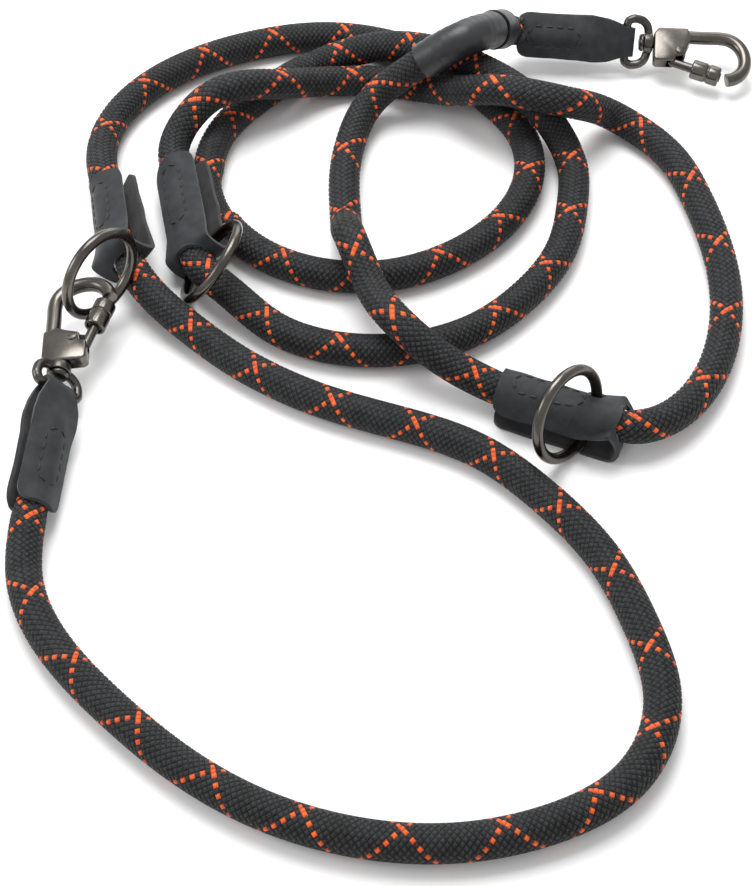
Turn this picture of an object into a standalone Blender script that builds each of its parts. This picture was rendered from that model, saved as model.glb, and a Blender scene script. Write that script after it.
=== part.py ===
"""Rope training leash with two swivel snap hooks and three sliding-position O-rings, laid out on a table."""
import bmesh
import bpy
import math
import numpy as np
from mathutils import Matrix, Vector

MM = 0.001
ROPE_DIA = 12.0 * MM
COVER_WALL = 1.3 * MM
CORE_DIA = 8.2 * MM
ROPE_POINTS = 86
LEATHER = 1.6 * MM
WRAP_WIDTH = 23.0 * MM
SLIM_WIDTH = 20.5 * MM
END_WIDTH = 19.0 * MM
PINCH = 0.85
RING_MAJOR = 16.0 * MM
RING_WIRE = 2.0 * MM
THREAD = 0.45 * MM
BAIL_WIRE = 1.75 * MM
BAIL_DEPTH = 9.6 * MM
BAIL_HALF = 7.8 * MM
STEM_DIA = 4.0 * MM
BOW_RADIUS = 2.7 * MM
BODY_HALF = 3.0 * MM
SLOT_HALF = 1.05 * MM
WEB_HALF = 0.7 * MM
PIVOT = (12.0 * MM, -4.4 * MM)
PIVOT_DIA = 2.4 * MM
BAR_RADIUS = 1.8 * MM
LOCK_RADIUS = 3.9 * MM
LOCK_LENGTH = 11.6 * MM

# the whole route of the rope over the table, in millimetres, first hook to second hook
HANDLE = [
    (-124.5, -34.4, 12), (-125.5, -45, 11), (-127.2, -65, 9.2), (-127, -88, 6), (-114, -116, 6), (-94, -138, 6),
    (-72, -157, 6), (-47, -172, 6), (-19, -181, 6), (10, -183, 6), (39, -177, 6), (64, -162, 6),
    (76, -136, 6), (72, -108, 6), (61, -80, 6), (44, -57, 6), (22, -37, 6), (-5, -25, 6),
    (-32, -15, 6), (-58, 0, 6), (-80, 18, 7.5),
]
COIL = [
    (-100, 41, 9.3), (-108, 60, 10), (-112.5, 78, 10), (-118.5, 101, 8.5), (-117, 126, 6), (-104, 148, 6),
    (-84, 164, 6), (-61, 174, 6), (-35, 178.7, 6), (-10, 174.7, 6), (13, 162, 6), (30, 143, 6),
    (44, 121, 6), (46, 96, 6), (36, 73, 6), (17, 55, 6), (-6, 45, 6), (-32, 45, 6),
    (-54.5, 55, 6), (-71, 74, 6), (-77.5, 99, 6), (-72.5, 123, 6), (-57, 144, 6), (-38, 160.5, 6),
    (-15, 164, 12.5), (10, 156, 18), (31, 141, 20), (50, 124, 17), (62, 108, 6.5), (62, 82, 6),
    (56, 57, 6), (42, 35, 6), (23, 18, 6), (-1, 9, 6), (-26, 9, 6), (-50, 19, 6.5),
]
SIDE = [
    (-66, 33, 9.5), (-78.5, 46, 12.3), (-81.8, 62.7, 12.7), (-86.2, 84.3, 12.7), (-90.5, 108, 12),
    (-76, 125, 21.8), (-52, 137, 17),
    (-30, 150, 7), (-4, 149.6, 6), (17, 136, 14.5), (36, 122, 27), (61, 117, 25.4), (80, 128, 9),
    (99, 112, 6), (109, 87, 6), (114, 61, 6), (115, 34, 6), (110, 8, 6), (98, -15, 7),
]
COLLAR = [
    (77, -30, 10), (61, -29, 12), (45, -20.5, 9.5), (27, -10, 8.5), (9, -1, 13.5), (-6, 11, 19.5),
    (-15, 31, 16.2), (-22, 50, 20), (-24, 70, 7), (-25, 92, 6), (-23, 114, 6), (-15, 134, 10),
    (2, 141, 21.9), (21, 144, 33.7), (34, 157, 27.6), (45, 170.5, 15.5), (59, 169.4, 14), (70.5, 168.7, 13.6),
]
ROUTE = HANDLE + COIL + SIDE + COLLAR

# middle of everything on the table, which becomes the origin
MIDDLE = (1.55, -1.75)

COLLECTION = "training_leash"


def clear_scene():
    for item in list(bpy.data.objects):
        bpy.data.objects.remove(item, do_unlink=True)
    for group in list(bpy.data.collections):
        bpy.data.collections.remove(group)


clear_scene()
main = bpy.data.collections.new(COLLECTION)
tools = bpy.data.collections.new("cutters")
bpy.context.scene.collection.children.link(main)
bpy.context.scene.collection.children.link(tools)


def material(name, colour, metallic, roughness):
    mat = bpy.data.materials.new(name)
    mat.use_nodes = True
    shader = mat.node_tree.nodes["Principled BSDF"]
    shader.inputs["Base Color"].default_value = (*colour, 1.0)
    shader.inputs["Metallic"].default_value = metallic
    shader.inputs["Roughness"].default_value = roughness
    return mat


def link(obj, mat, smooth=True):
    main.objects.link(obj)
    obj.data.materials.clear()
    obj.data.materials.append(mat)
    if smooth and obj.type == "MESH":
        obj.data.polygons.foreach_set("use_smooth", [True] * len(obj.data.polygons))
    return obj


def on_table(point):
    """A place given in millimetres as metres from the middle of the table."""
    return Vector((point[0] - MIDDLE[0], point[1] - MIDDLE[1], point[2])) * MM


def frame_of(origin, along, normal):
    """Matrix with X along the piece, Z as near the normal as it can be, origin in millimetres."""
    x = Vector(along).normalized()
    z = Vector(normal)
    z = (z - x * z.dot(x)).normalized()
    y = z.cross(x)
    turn = Matrix((x, y, z)).transposed().to_4x4()
    return Matrix.Translation(on_table(origin)) @ turn


def hook_frames(end, swing, normal):
    """The bail swings on its bar in the fold and the hook is turned on the swivel."""
    on_bail = end @ Matrix.Rotation(math.radians(swing), 4, "Y") @ Matrix.Translation((BAIL_DEPTH, 0, 0))
    along = on_bail.to_3x3() @ Vector((1, 0, 0))
    body = frame_of(MIDDLE + (0,), along, normal)
    body.translation = on_bail.translation
    return on_bail, body


# where each assembly lies on the table: X points out of the fold, Z is the upper layer's normal
END_1 = frame_of((-123, -16.5, 13.5), (4.5, 52, 4.5), (0.75, 0, 0.66))
END_2 = frame_of((88.5, 167.5, 13), (44, -3, -1.5), (0, -0.83, 0.56))
BAIL_1, BODY_1 = hook_frames(END_1, 7, (-0.15, -0.1, 0.98))
BAIL_2, BODY_2 = hook_frames(END_2, 0, (0, -0.25, 0.97))
WRAP_1 = frame_of((-104, 46, 10), (11, -46, 0), (-0.75, 0, 0.66))
WRAP_2 = frame_of((-78.5, 46, 12.7), (11, -55, 0), (-0.66, 0, 0.75))
WRAP_3 = frame_of((73, -30.5, 10.4), (44, -18, 0), (0, 0, 1))
WRAPS = [(END_1, 48), (END_2, 44), (WRAP_1, 44), (WRAP_2, 50), (WRAP_3, 46)]


def inside_wrap(point):
    """How far the leather squeezes the rope at a point, from 0 outside to 1 inside."""
    best = 0.0
    for matrix, length in WRAPS:
        local = matrix.inverted() @ Vector(point)
        if local.yz.length < 15 * MM:
            depth = min(-local.x, local.x + length * MM)
            best = max(best, min(max(depth / (7 * MM) + 0.3, 0.0), 1.0))
    return best


def spline_through(points, count, even=False):
    """Natural cubic curve through the points, read closer together in bends and in the leather."""
    pts = np.array([on_table(p) for p in points])
    knots = np.concatenate([[0.0], np.cumsum(np.linalg.norm(np.diff(pts, axis=0), axis=1))])
    gaps = np.diff(knots)
    size = len(pts)
    system = np.eye(size)
    right = np.zeros((size, 3))
    for i in range(1, size - 1):
        system[i, i - 1] = gaps[i - 1]
        system[i, i] = 2.0 * (gaps[i - 1] + gaps[i])
        system[i, i + 1] = gaps[i]
        right[i] = 6.0 * ((pts[i + 1] - pts[i]) / gaps[i] - (pts[i] - pts[i - 1]) / gaps[i - 1])
    bend = np.linalg.solve(system, right)

    def read(where):
        i = min(max(int(np.searchsorted(knots, where)) - 1, 0), size - 2)
        a = knots[i + 1] - where
        b = where - knots[i]
        h = gaps[i]
        curve = (bend[i] * a**3 + bend[i + 1] * b**3) / (6.0 * h)
        curve += (pts[i] / h - bend[i] * h / 6.0) * a
        curve += (pts[i + 1] / h - bend[i + 1] * h / 6.0) * b
        return curve

    fine = np.array([read(w) for w in np.linspace(0.0, knots[-1], 3000)])
    fine[:, 2] = np.maximum(fine[:, 2], ROPE_DIA / 2.0)
    steps = np.linalg.norm(np.diff(fine, axis=0), axis=1)
    turns = np.zeros(len(steps))
    heads = np.diff(fine, axis=0) / steps[:, None]
    turns[1:] = np.linalg.norm(np.diff(heads, axis=0), axis=1) / steps[1:]
    soft = np.convolve(turns, np.ones(25) / 25.0, "same")
    near = np.array([inside_wrap(p) for p in (fine[1:] + fine[:-1]) / 2.0])
    high = np.clip((fine[1:, 2] - 7.0 * MM) / (3.0 * MM), 0.0, 1.0)
    share = 1.0 if even else 1.0 + 0.03 * np.minimum(soft, 60.0) + 1.0 * near + 0.9 * high
    run = np.concatenate([[0.0], np.cumsum(steps * share)])
    wanted = np.linspace(0.0, run[-1], count)
    return np.array([[np.interp(w, run, fine[:, k]) for k in range(3)] for w in wanted])


def tube(name, points, radius, mat=None, closed=False, caps=True, resolution=2, matrix=None, scale=None):
    data = bpy.data.curves.new(name, "CURVE")
    data.dimensions = "3D"
    data.bevel_depth = radius
    data.bevel_resolution = resolution
    data.use_fill_caps = caps and not closed
    line = data.splines.new("POLY")
    line.points.add(len(points) - 1)
    for slot, point in zip(line.points, points):
        slot.co = (point[0], point[1], point[2], 1.0)
    if scale is not None:
        for slot, size in zip(line.points, scale):
            slot.radius = size
    line.use_cyclic_u = closed
    obj = bpy.data.objects.new(name, data)
    if mat is not None:
        link(obj, mat)
    if matrix is not None:
        obj.matrix_world = matrix
    return obj


def plate(name, outline, low, high):
    """Flat outline in XY filled and given a thickness, as a plain mesh."""
    data = bpy.data.curves.new(name, "CURVE")
    data.dimensions = "2D"
    data.fill_mode = "BOTH"
    data.extrude = (high - low) / 2.0
    line = data.splines.new("POLY")
    line.points.add(len(outline) - 1)
    for slot, point in zip(line.points, outline):
        slot.co = (point[0], point[1], 0.0, 1.0)
    line.use_cyclic_u = True
    obj = bpy.data.objects.new(name, data)
    mesh_obj = to_mesh(obj, name)
    mesh_obj.data.transform(Matrix.Translation((0, 0, (high + low) / 2.0)))
    return mesh_obj


def to_mesh(obj, name):
    linked = obj.name in bpy.context.scene.collection.all_objects
    if not linked:
        tools.objects.link(obj)
    bpy.context.view_layer.update()
    graph = bpy.context.evaluated_depsgraph_get()
    mesh = bpy.data.meshes.new_from_object(obj.evaluated_get(graph), depsgraph=graph)
    bpy.data.objects.remove(obj, do_unlink=True)
    mesh.name = name
    result = bpy.data.objects.new(name, mesh)
    weld(mesh)
    return result


def weld(mesh):
    work = bmesh.new()
    work.from_mesh(mesh)
    bmesh.ops.remove_doubles(work, verts=work.verts, dist=1e-6)
    bmesh.ops.recalc_face_normals(work, faces=work.faces)
    work.to_mesh(mesh)
    work.free()


def rod(name, start, end, radius, sides=16):
    a = Vector(start)
    b = Vector(end)
    bpy.ops.mesh.primitive_cylinder_add(vertices=sides, radius=radius, depth=(b - a).length)
    obj = bpy.context.active_object
    obj.name = name
    for group in list(obj.users_collection):
        group.objects.unlink(obj)
    turn = (b - a).to_track_quat("Z", "Y").to_matrix().to_4x4()
    obj.data.transform(Matrix.Translation((a + b) / 2.0) @ turn)
    return obj


def block(name, low, high):
    bpy.ops.mesh.primitive_cube_add(size=1.0)
    obj = bpy.context.active_object
    obj.name = name
    for group in list(obj.users_collection):
        group.objects.unlink(obj)
    size = [h - l for l, h in zip(low, high)]
    middle = [(h + l) / 2.0 for l, h in zip(low, high)]
    obj.data.transform(Matrix.Translation(middle) @ Matrix.Diagonal((*size, 1.0)))
    return obj


def turned(name, profile, steps, closed=False):
    """Profile of (radius, height) pairs turned about Z, from top to bottom on the outer side."""
    mesh = bpy.data.meshes.new(name)
    count = len(profile)
    edges = [(i, i + 1) for i in range(count - 1)]
    if closed:
        edges.append((count - 1, 0))
    mesh.from_pydata([(r, 0.0, z) for r, z in profile], edges, [])
    obj = bpy.data.objects.new(name, mesh)
    screw = obj.modifiers.new("turn", "SCREW")
    screw.steps = steps
    screw.render_steps = steps
    screw.use_merge_vertices = True
    screw.merge_threshold = 0.00001
    return to_mesh(obj, name)


def combine(base, other, operation):
    if base.name not in tools.objects:
        tools.objects.link(base)
    tools.objects.link(other)
    step = base.modifiers.new(operation, "BOOLEAN")
    step.operation = operation
    step.solver = "EXACT"
    step.object = other
    bpy.context.view_layer.update()
    graph = bpy.context.evaluated_depsgraph_get()
    mesh = bpy.data.meshes.new_from_object(base.evaluated_get(graph), depsgraph=graph)
    base.modifiers.clear()
    base.data = mesh
    bpy.data.objects.remove(other, do_unlink=True)
    tools.objects.unlink(base)
    return base


def place(obj, matrix, mat, smooth=False):
    link(obj, mat, smooth)
    obj.matrix_world = matrix
    return obj


COVER = material("braided_cover_black", (0.018, 0.018, 0.02), 0.0, 0.8)
CORE = material("core_fibre_white", (0.75, 0.74, 0.7), 0.0, 0.9)
HIDE = material("leather_slate", (0.035, 0.042, 0.045), 0.0, 0.75)
THREAD_MAT = material("waxed_thread_black", (0.01, 0.01, 0.01), 0.0, 0.6)
SLEEVE_MAT = material("sleeve_black", (0.03, 0.03, 0.035), 0.0, 0.45)
GUN = material("gunmetal", (0.17, 0.165, 0.155), 1.0, 0.3)
SPRING = material("spring_wire", (0.5, 0.5, 0.5), 1.0, 0.3)

# rope: hollow braided cover with a twisted core inside
centre = spline_through(ROUTE, ROPE_POINTS)
squeeze = [1.0 - (1.0 - PINCH) * inside_wrap(p) for p in centre]
cover = tube("rope_cover", centre, ROPE_DIA / 2.0, COVER, caps=False, resolution=3, scale=squeeze)
wall = cover.modifiers.new("wall", "SOLIDIFY")
wall.thickness = COVER_WALL
wall.offset = -1.0
wall.use_even_offset = False
core = tube("rope_core", centre, CORE_DIA / 2.0, CORE, caps=True, resolution=2, scale=squeeze)


def rope_room(name, matrix, length):
    """Tubes a little wider than the rope along every stretch of it that comes near the leather."""
    inverse = matrix.inverted()
    local = [inverse @ Vector(p) for p in centre]
    near = [-length - 26 * MM < p.x < 26 * MM and abs(p.y) < 34 * MM and abs(p.z) < 34 * MM for p in local]
    rooms = []
    first = None
    for i in range(len(local) + 1):
        inside = i < len(local) and near[i]
        if inside and first is None:
            first = max(i - 1, 0)
        if not inside and first is not None:
            last = min(i + 1, len(local))
            spare = 0.35 * MM / (ROPE_DIA / 2.0)
            sizes = [size + spare for size in squeeze[first:last]]
            room = tube(name + "_room", local[first:last], ROPE_DIA / 2.0, resolution=3, scale=sizes)
            rooms.append(to_mesh(room, name + "_room"))
            first = None
    return rooms


def under_floor(name, matrix):
    floor = block(name + "_floor", (-0.4, -0.4, -0.05), (0.4, 0.4, 0.0))
    floor.data.transform(matrix.inverted())
    return floor


def folded_strip(name, path, width_at, dome_at, dome, mat, matrix, cutters=()):
    """Leather strip that follows the path in XZ, with its edges drawn in where the rope fills it out."""
    across = [-1.0, -0.86, -0.55, 0.0, 0.55, 0.86, 1.0]
    verts = []
    for (x, z), half, bulge in zip(path, width_at, dome_at):
        for t in across:
            pull = bulge * dome * (abs(t) ** 2.2)
            verts.append((x, t * half, z - pull))
    rows = len(path)
    cols = len(across)
    faces = []
    for i in range(rows - 1):
        for j in range(cols - 1):
            a = i * cols + j
            faces.append((a, a + 1, a + cols + 1, a + cols))
    mesh = bpy.data.meshes.new(name)
    mesh.from_pydata(verts, [], faces)
    obj = bpy.data.objects.new(name, mesh)
    shell = obj.modifiers.new("hide", "SOLIDIFY")
    shell.thickness = LEATHER
    shell.offset = 0.0
    shell.use_even_offset = True
    obj = to_mesh(obj, name)
    reach = max(-x for x, z in path)
    for cutter in [*cutters, *rope_room(name, matrix, reach), under_floor(name, matrix)]:
        obj = combine(obj, cutter, "DIFFERENCE")
    return place(obj, matrix, mat, smooth=False)


def ring_wrap(name, matrix, length, wide, above, below, flat_below, clearance):
    """U of leather: layer above the rope, fold at X 0 with the rope's hole, layer below with room for the ring."""
    # rope axis runs at height 0 at the fold and the lower layer leaves room for the ring wire
    top_fold = above * MM
    low_fold = -below * MM
    top_end = 6.3 * MM
    low_end = -9.6 * MM if flat_below else -6.3 * MM
    radius = (top_fold - low_fold) / 2.0
    middle = (top_fold + low_fold) / 2.0
    reach = 0.45
    path = []
    width = []
    dome = []
    steps = 6
    for i in range(steps + 1):
        t = i / steps
        x = -length + t * (length - radius * reach)
        z = top_end + (top_fold - top_end) * t
        corner = min(1.0, 0.78 + 0.9 * t * 2.0) if i < 2 else 1.0
        path.append((x, z))
        width.append(wide / 2.0 * corner)
        dome.append(1.0 if i < steps else 0.8)
    for i in range(1, 8):
        angle = math.pi / 2.0 - i * math.pi / 8.0
        path.append((radius * reach * (math.cos(angle) - 1.0), middle + radius * math.sin(angle)))
        width.append(wide / 2.0 * 0.97)
        dome.append(math.sin(angle) * 0.8)
    for i in range(steps + 1):
        t = 1.0 - i / steps
        x = -length + t * (length - radius * reach)
        z = low_end + (low_fold - low_end) * t
        corner = min(1.0, 0.78 + 0.9 * t * 2.0) if i > steps - 2 else 1.0
        path.append((x, z))
        width.append(wide / 2.0 * corner)
        share = 1.0 if i > 0 else 0.8
        dome.append(0.0 if flat_below else -share)
    return folded_strip(name, path, width, dome, 3.6 * MM, HIDE, matrix, [clearance])


def end_wrap(name, matrix, length):
    """Strip folded round the bail's bar at X 0, its two layers closing on the rope end."""
    bar = BAIL_WIRE + 0.3 * MM + LEATHER / 2.0
    path = []
    width = []
    dome = []
    side = [(-length, 6.3), (-length + 5 * MM, 6.3), (-30 * MM, 6.3), (-20 * MM, 6.3), (-13 * MM, 5.6),
            (-7 * MM, 4.0), (0.0, bar / MM)]
    halves = [0.6, 0.95, 1.0, 1.0, 1.0, 0.9, 0.62]
    bulge = [1.0, 1.0, 1.0, 1.0, 0.6, 0.2, 0.0]
    for (x, z), half, dome_here in zip(side, halves, bulge):
        path.append((x, z * MM))
        width.append(END_WIDTH / 2.0 * half)
        dome.append(dome_here)
    for i in range(1, 6):
        angle = math.pi / 2.0 - i * math.pi / 6.0
        path.append((bar * math.cos(angle), bar * math.sin(angle)))
        width.append(END_WIDTH / 2.0 * 0.6)
        dome.append(0.0)
    for (x, z), half, dome_here in reversed(list(zip(side, halves, bulge))):
        path.append((x, -z * MM))
        width.append(END_WIDTH / 2.0 * half)
        dome.append(-dome_here)
    return folded_strip(name, path, width, dome, 3.6 * MM, HIDE, matrix)


def stitch_loop(name, matrix, start, end, half, height, slope=0.0):
    """Closed run of thread sewn through the upper layer, over the rope."""
    points = []
    for i in range(7):
        angle = -math.pi / 2.0 + i * math.pi / 6.0
        points.append((end - half + half * math.cos(angle), half * math.sin(angle)))
    for i in range(7):
        angle = math.pi / 2.0 + i * math.pi / 6.0
        points.append((start + half + half * math.cos(angle), half * math.sin(angle)))
    path = []
    for x, y in points:
        drop = 3.6 * MM * (abs(y) / (WRAP_WIDTH / 2.0)) ** 2.2
        path.append((x, y, height - drop + slope * x))
    return tube(name, path, THREAD, THREAD_MAT, closed=True, resolution=1, matrix=matrix)


def bail(name, matrix):
    r = BAIL_HALF
    d = BAIL_DEPTH
    pts = [(-d, -r, 0), (-d, r, 0), (-d + 2 * MM, r + 1.2 * MM, 0), (-4 * MM, r + 1.2 * MM, 0),
           (-1.2 * MM, r - 1.5 * MM, 0), (-0.6 * MM, 3 * MM, 0), (-0.6 * MM, -3 * MM, 0),
           (-1.2 * MM, -r + 1.5 * MM, 0), (-4 * MM, -r - 1.2 * MM, 0), (-d + 2 * MM, -r - 1.2 * MM, 0)]
    frame = to_mesh(tube(name, pts, BAIL_WIRE, closed=True, resolution=2), name)
    boss = rod(name + "_boss", (-2.4 * MM, 0, 0), (1.1 * MM, 0, 0), 4.2 * MM, 20)
    frame = combine(frame, boss, "UNION")
    bore = rod(name + "_bore", (-6 * MM, 0, 0), (6 * MM, 0, 0), STEM_DIA / 2.0 + 0.3 * MM, 20)
    frame = combine(frame, bore, "DIFFERENCE")
    return place(frame, matrix, GUN, smooth=False)


def swivel_stem(name, matrix):
    r = STEM_DIA / 2.0
    profile = [(0.0, 5.0 * MM), (r - 0.3 * MM, 5.0 * MM), (r, 4.7 * MM), (r, -2.7 * MM), (3.6 * MM, -2.7 * MM),
               (3.6 * MM, -3.4 * MM), (2.9 * MM, -4.3 * MM), (0.0, -4.7 * MM)]
    obj = turned(name, profile, 20)
    obj.data.transform(Matrix.Rotation(math.pi / 2.0, 4, "Y"))
    return place(obj, matrix, GUN, smooth=False)


BAR_START = Vector((8.8 * MM, -8.4 * MM, 0.0))
BAR_END = Vector((28.7 * MM, -14.53 * MM, 0.0))


def hook_body(name, matrix):
    bow = [(13, 3.9), (18.5, 4.0), (24, 4.2), (28.3, 4.4), (32.1, 3.9), (35.4, 1.8), (37.6, -1.4), (38.6, -5.4),
           (38.2, -9.4), (36.5, -12.6), (33.9, -14.7), (31.1, -15.6)]
    line = [(x * MM, y * MM, 0.0) for x, y in bow]
    body = to_mesh(tube(name, line, BOW_RADIUS, caps=True, resolution=3), name)
    outline = [(1.5, -8.6), (1.5, 3.4), (3.4, 6.2), (15.3, 6.6), (16.9, 1.6), (15.5, -1.4), (14.0, -6.6),
               (10.4, -7.2), (10.0, -9.4), (2.6, -9.8)]
    house = plate(name + "_housing", [(x * MM, y * MM) for x, y in outline], -BODY_HALF, BODY_HALF)
    body = combine(body, house, "UNION")
    slot = block(name + "_slot", (6.8 * MM, -12 * MM, -SLOT_HALF), (18 * MM, -0.9 * MM, SLOT_HALF))
    body = combine(body, slot, "DIFFERENCE")
    notch = block(name + "_notch", (6.8 * MM, -12 * MM, -2.1 * MM), (13 * MM, -6.0 * MM, 2.1 * MM))
    body = combine(body, notch, "DIFFERENCE")
    x, y = PIVOT
    pocket = rod(name + "_pocket", (x, y, 0.0), (x, y, 2.2 * MM), 2.6 * MM, 20)
    body = combine(body, pocket, "DIFFERENCE")
    bore = rod(name + "_bore", (x, y, -8 * MM), (x, y, 8 * MM), PIVOT_DIA / 2.0 + 0.2 * MM, 16)
    body = combine(body, bore, "DIFFERENCE")
    stem = rod(name + "_stem_bore", (-2 * MM, 0, 0), (5.5 * MM, 0, 0), STEM_DIA / 2.0 + 0.15 * MM, 20)
    body = combine(body, stem, "DIFFERENCE")
    return place(body, matrix, GUN, smooth=False)


def gate(name, matrix):
    x, y = PIVOT
    bar = rod(name, BAR_START, BAR_END, BAR_RADIUS, 14)
    web_line = [(7.7, -9.3), (7.9, -5.4), (10.3, -2.5), (13.2, -2.5), (14.7, -5.0), (13.7, -9.0), (11.4, -10.2)]
    web = plate(name + "_web", [(a * MM, b * MM) for a, b in web_line], -WEB_HALF, WEB_HALF)
    arm = combine(bar, web, "UNION")
    collar_mid = BAR_START + (BAR_END - BAR_START).normalized() * 9.9 * MM
    step = (BAR_END - BAR_START).normalized() * 0.5 * MM
    collar = rod(name + "_collar", collar_mid - step, collar_mid + step, 2.5 * MM, 14)
    arm = combine(arm, collar, "UNION")
    bore = rod(name + "_bore", (x, y, -4 * MM), (x, y, 4 * MM), PIVOT_DIA / 2.0 + 0.2 * MM, 16)
    arm = combine(arm, bore, "DIFFERENCE")
    turn = matrix @ Matrix.Translation((x, y, 0.0))
    arm.data.transform(Matrix.Translation((-x, -y, 0.0)))
    return place(arm, turn, GUN, smooth=False)


def gate_rivet(name, matrix):
    r = PIVOT_DIA / 2.0
    top = BODY_HALF + 0.7 * MM
    head = 1.9 * MM
    profile = [(0.0, top), (head - 0.4 * MM, top), (head, top - 0.4 * MM), (head, BODY_HALF + 0.1 * MM),
               (r, BODY_HALF + 0.1 * MM), (r, -BODY_HALF - 0.1 * MM), (head, -BODY_HALF - 0.1 * MM),
               (head, -top + 0.4 * MM), (head - 0.4 * MM, -top), (0.0, -top)]
    obj = turned(name, profile, 16)
    return place(obj, matrix @ Matrix.Translation((PIVOT[0], PIVOT[1], 0.0)), GUN, smooth=False)


def coil(name, matrix, radius, wire, low, high, turns, per_turn, mat):
    count = int(turns * per_turn)
    points = []
    for i in range(count + 1):
        angle = 2.0 * math.pi * i / per_turn
        points.append((radius * math.cos(angle), radius * math.sin(angle), low + (high - low) * i / count))
    return tube(name, points, wire, mat, resolution=0, matrix=matrix)


def lock_sleeve(name, matrix):
    r = LOCK_RADIUS
    length = LOCK_LENGTH
    inner = BAR_RADIUS + 0.3 * MM
    pocket = 2.9 * MM
    profile = [(inner, length), (r - 0.4 * MM, length), (r, length - 0.5 * MM), (r, 7.1 * MM),
               (r - 0.45 * MM, 6.8 * MM), (r - 0.45 * MM, 6.1 * MM), (r, 5.8 * MM), (r, 0.5 * MM),
               (r - 0.4 * MM, 0.0), (pocket, 0.0), (pocket, 9.5 * MM), (inner, 9.5 * MM)]
    obj = turned(name, profile, 20, closed=True)
    return place(obj, matrix, GUN, smooth=False)


def hook(tag, bail_matrix, body_matrix):
    bail("bail_" + tag, bail_matrix)
    swivel_stem("swivel_stem_" + tag, body_matrix)
    hook_body("hook_body_" + tag, body_matrix)
    gate("gate_" + tag, body_matrix)
    gate_rivet("gate_rivet_" + tag, body_matrix)
    wire = 0.2 * MM
    spot = body_matrix @ Matrix.Translation((PIVOT[0], PIVOT[1], 0.0))
    coil("gate_spring_" + tag, spot, 2.05 * MM, wire, 1.25 * MM, 1.95 * MM, 1.25, 10, SPRING)
    along = (BAR_END - BAR_START).normalized()
    turn = along.to_track_quat("Z", "Y").to_matrix().to_4x4()
    spot = body_matrix @ Matrix.Translation(BAR_START + along * 8.8 * MM) @ turn
    lock_sleeve("lock_sleeve_" + tag, spot)
    coil("lock_spring_" + tag, spot, 2.4 * MM, wire, 2.2 * MM, 3.6 * MM, 2.5, 10, SPRING)


end_wrap("end_wrap_1", END_1, 48 * MM)
end_wrap("end_wrap_2", END_2, 44 * MM)


def torus(name, minor, sides, around, matrix):
    bpy.ops.mesh.primitive_torus_add(major_radius=RING_MAJOR, minor_radius=minor, major_segments=around,
                                     minor_segments=sides)
    obj = bpy.context.active_object
    obj.name = name
    for group in list(obj.users_collection):
        group.objects.unlink(obj)
    obj.matrix_world = matrix
    return obj


def ring_frame(centre_at, normal):
    z = Vector(normal).normalized()
    x = Vector((z.y, -z.x, 0)).normalized()
    turn = Matrix((x, z.cross(x), z)).transposed().to_4x4()
    return Matrix.Translation(on_table(centre_at)) @ turn


# the rings as they lie, and the leather dented clear of each one
RINGS = {
    "1": ring_frame((-110.4, 26.7, 25.7), (0.774, -0.633, 0.023)),
    "2": ring_frame((-72.6, 42.0, 15.7), (-0.784, 0.195, 0.589)),
    "3": ring_frame((52.3, -30.7, 17.6), (0.729, -0.638, 0.249)),
}
fine = spline_through(ROUTE, 1200, even=True)
WRAP_SIZES = (
    ("1", WRAP_1, 44, SLIM_WIDTH, 9.6, 6.3, False),
    ("2", WRAP_2, 50, SLIM_WIDTH, 6.3, 7.5, False),
    ("3", WRAP_3, 46, WRAP_WIDTH, 6.3, 9.6, True),
)


for tag, wrap, length, wide, above, below, flat in WRAP_SIZES:
    dent = torus("dent_" + tag, RING_WIRE + 0.4 * MM, 10, 48, wrap.inverted() @ RINGS[tag])
    ring_wrap("ring_wrap_" + tag, wrap, length * MM, wide, above, below, flat, dent)
    rise = (above - 6.3) / (length - 0.225 * (above + below))
    top = (6.3 + rise * length) * MM + LEATHER / 2.0 + THREAD + 0.15 * MM
    stitch_loop("wrap_thread_" + tag, wrap, (5 - length) * MM, -16 * MM, 4.0 * MM, top, rise)
    loop = torus("o_ring_" + tag, RING_WIRE, 8, 36, Matrix.Identity(4))
    place(loop, RINGS[tag], GUN, smooth=True)
top = 6.3 * MM + LEATHER / 2.0 + THREAD + 0.15 * MM
for tag, end in (("1", END_1), ("2", END_2)):
    stitch_loop("end_thread_" + tag, end, -40 * MM, -19 * MM, 4.0 * MM, top)

hook("1", BAIL_1, BODY_1)
hook("2", BAIL_2, BODY_2)

# shrink sleeve on the collar stretch and its thicker cuff
def along_rope(point):
    """Nearest place on the rope's line: the number of the run it is on, and how far along that run."""
    target = on_table(point)
    best = (1.0, 0, 0.0)
    for i in range(len(centre) - 1):
        a = Vector(centre[i])
        run = Vector(centre[i + 1]) - a
        share = min(max((target - a).dot(run) / run.length_squared, 0.0), 1.0)
        best = min(best, ((a + run * share - target).length, i, share))
    return best[1], best[2]


def stretch(start, end):
    """The rope's own line between the two places nearest the points given."""
    i, low = along_rope(start)
    j, high = along_rope(end)
    first = Vector(centre[i]).lerp(Vector(centre[i + 1]), low)
    last = Vector(centre[j]).lerp(Vector(centre[j + 1]), high)
    return [first, *[Vector(p) for p in centre[i + 1:j + 1]], last]


def shell_tube(name, points, inner, wall_thickness, mat):
    obj = tube(name, points, inner + wall_thickness, mat, caps=False, resolution=3)
    step = obj.modifiers.new("wall", "SOLIDIFY")
    step.thickness = wall_thickness
    step.offset = -1.0
    step.use_even_offset = False
    return obj


shell_tube("shrink_sleeve", stretch((6, 142, 24), (32, 155, 28)), ROPE_DIA / 2.0 + 0.45 * MM, 0.7 * MM, SLEEVE_MAT)
shell_tube("sleeve_cuff", stretch((33, 156, 28), (38.5, 162, 23)), ROPE_DIA / 2.0 + 0.6 * MM, 1.1 * MM, SLEEVE_MAT)

for leftover in list(tools.objects):
    bpy.data.objects.remove(leftover, do_unlink=True)
bpy.context.view_layer.update()
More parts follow.
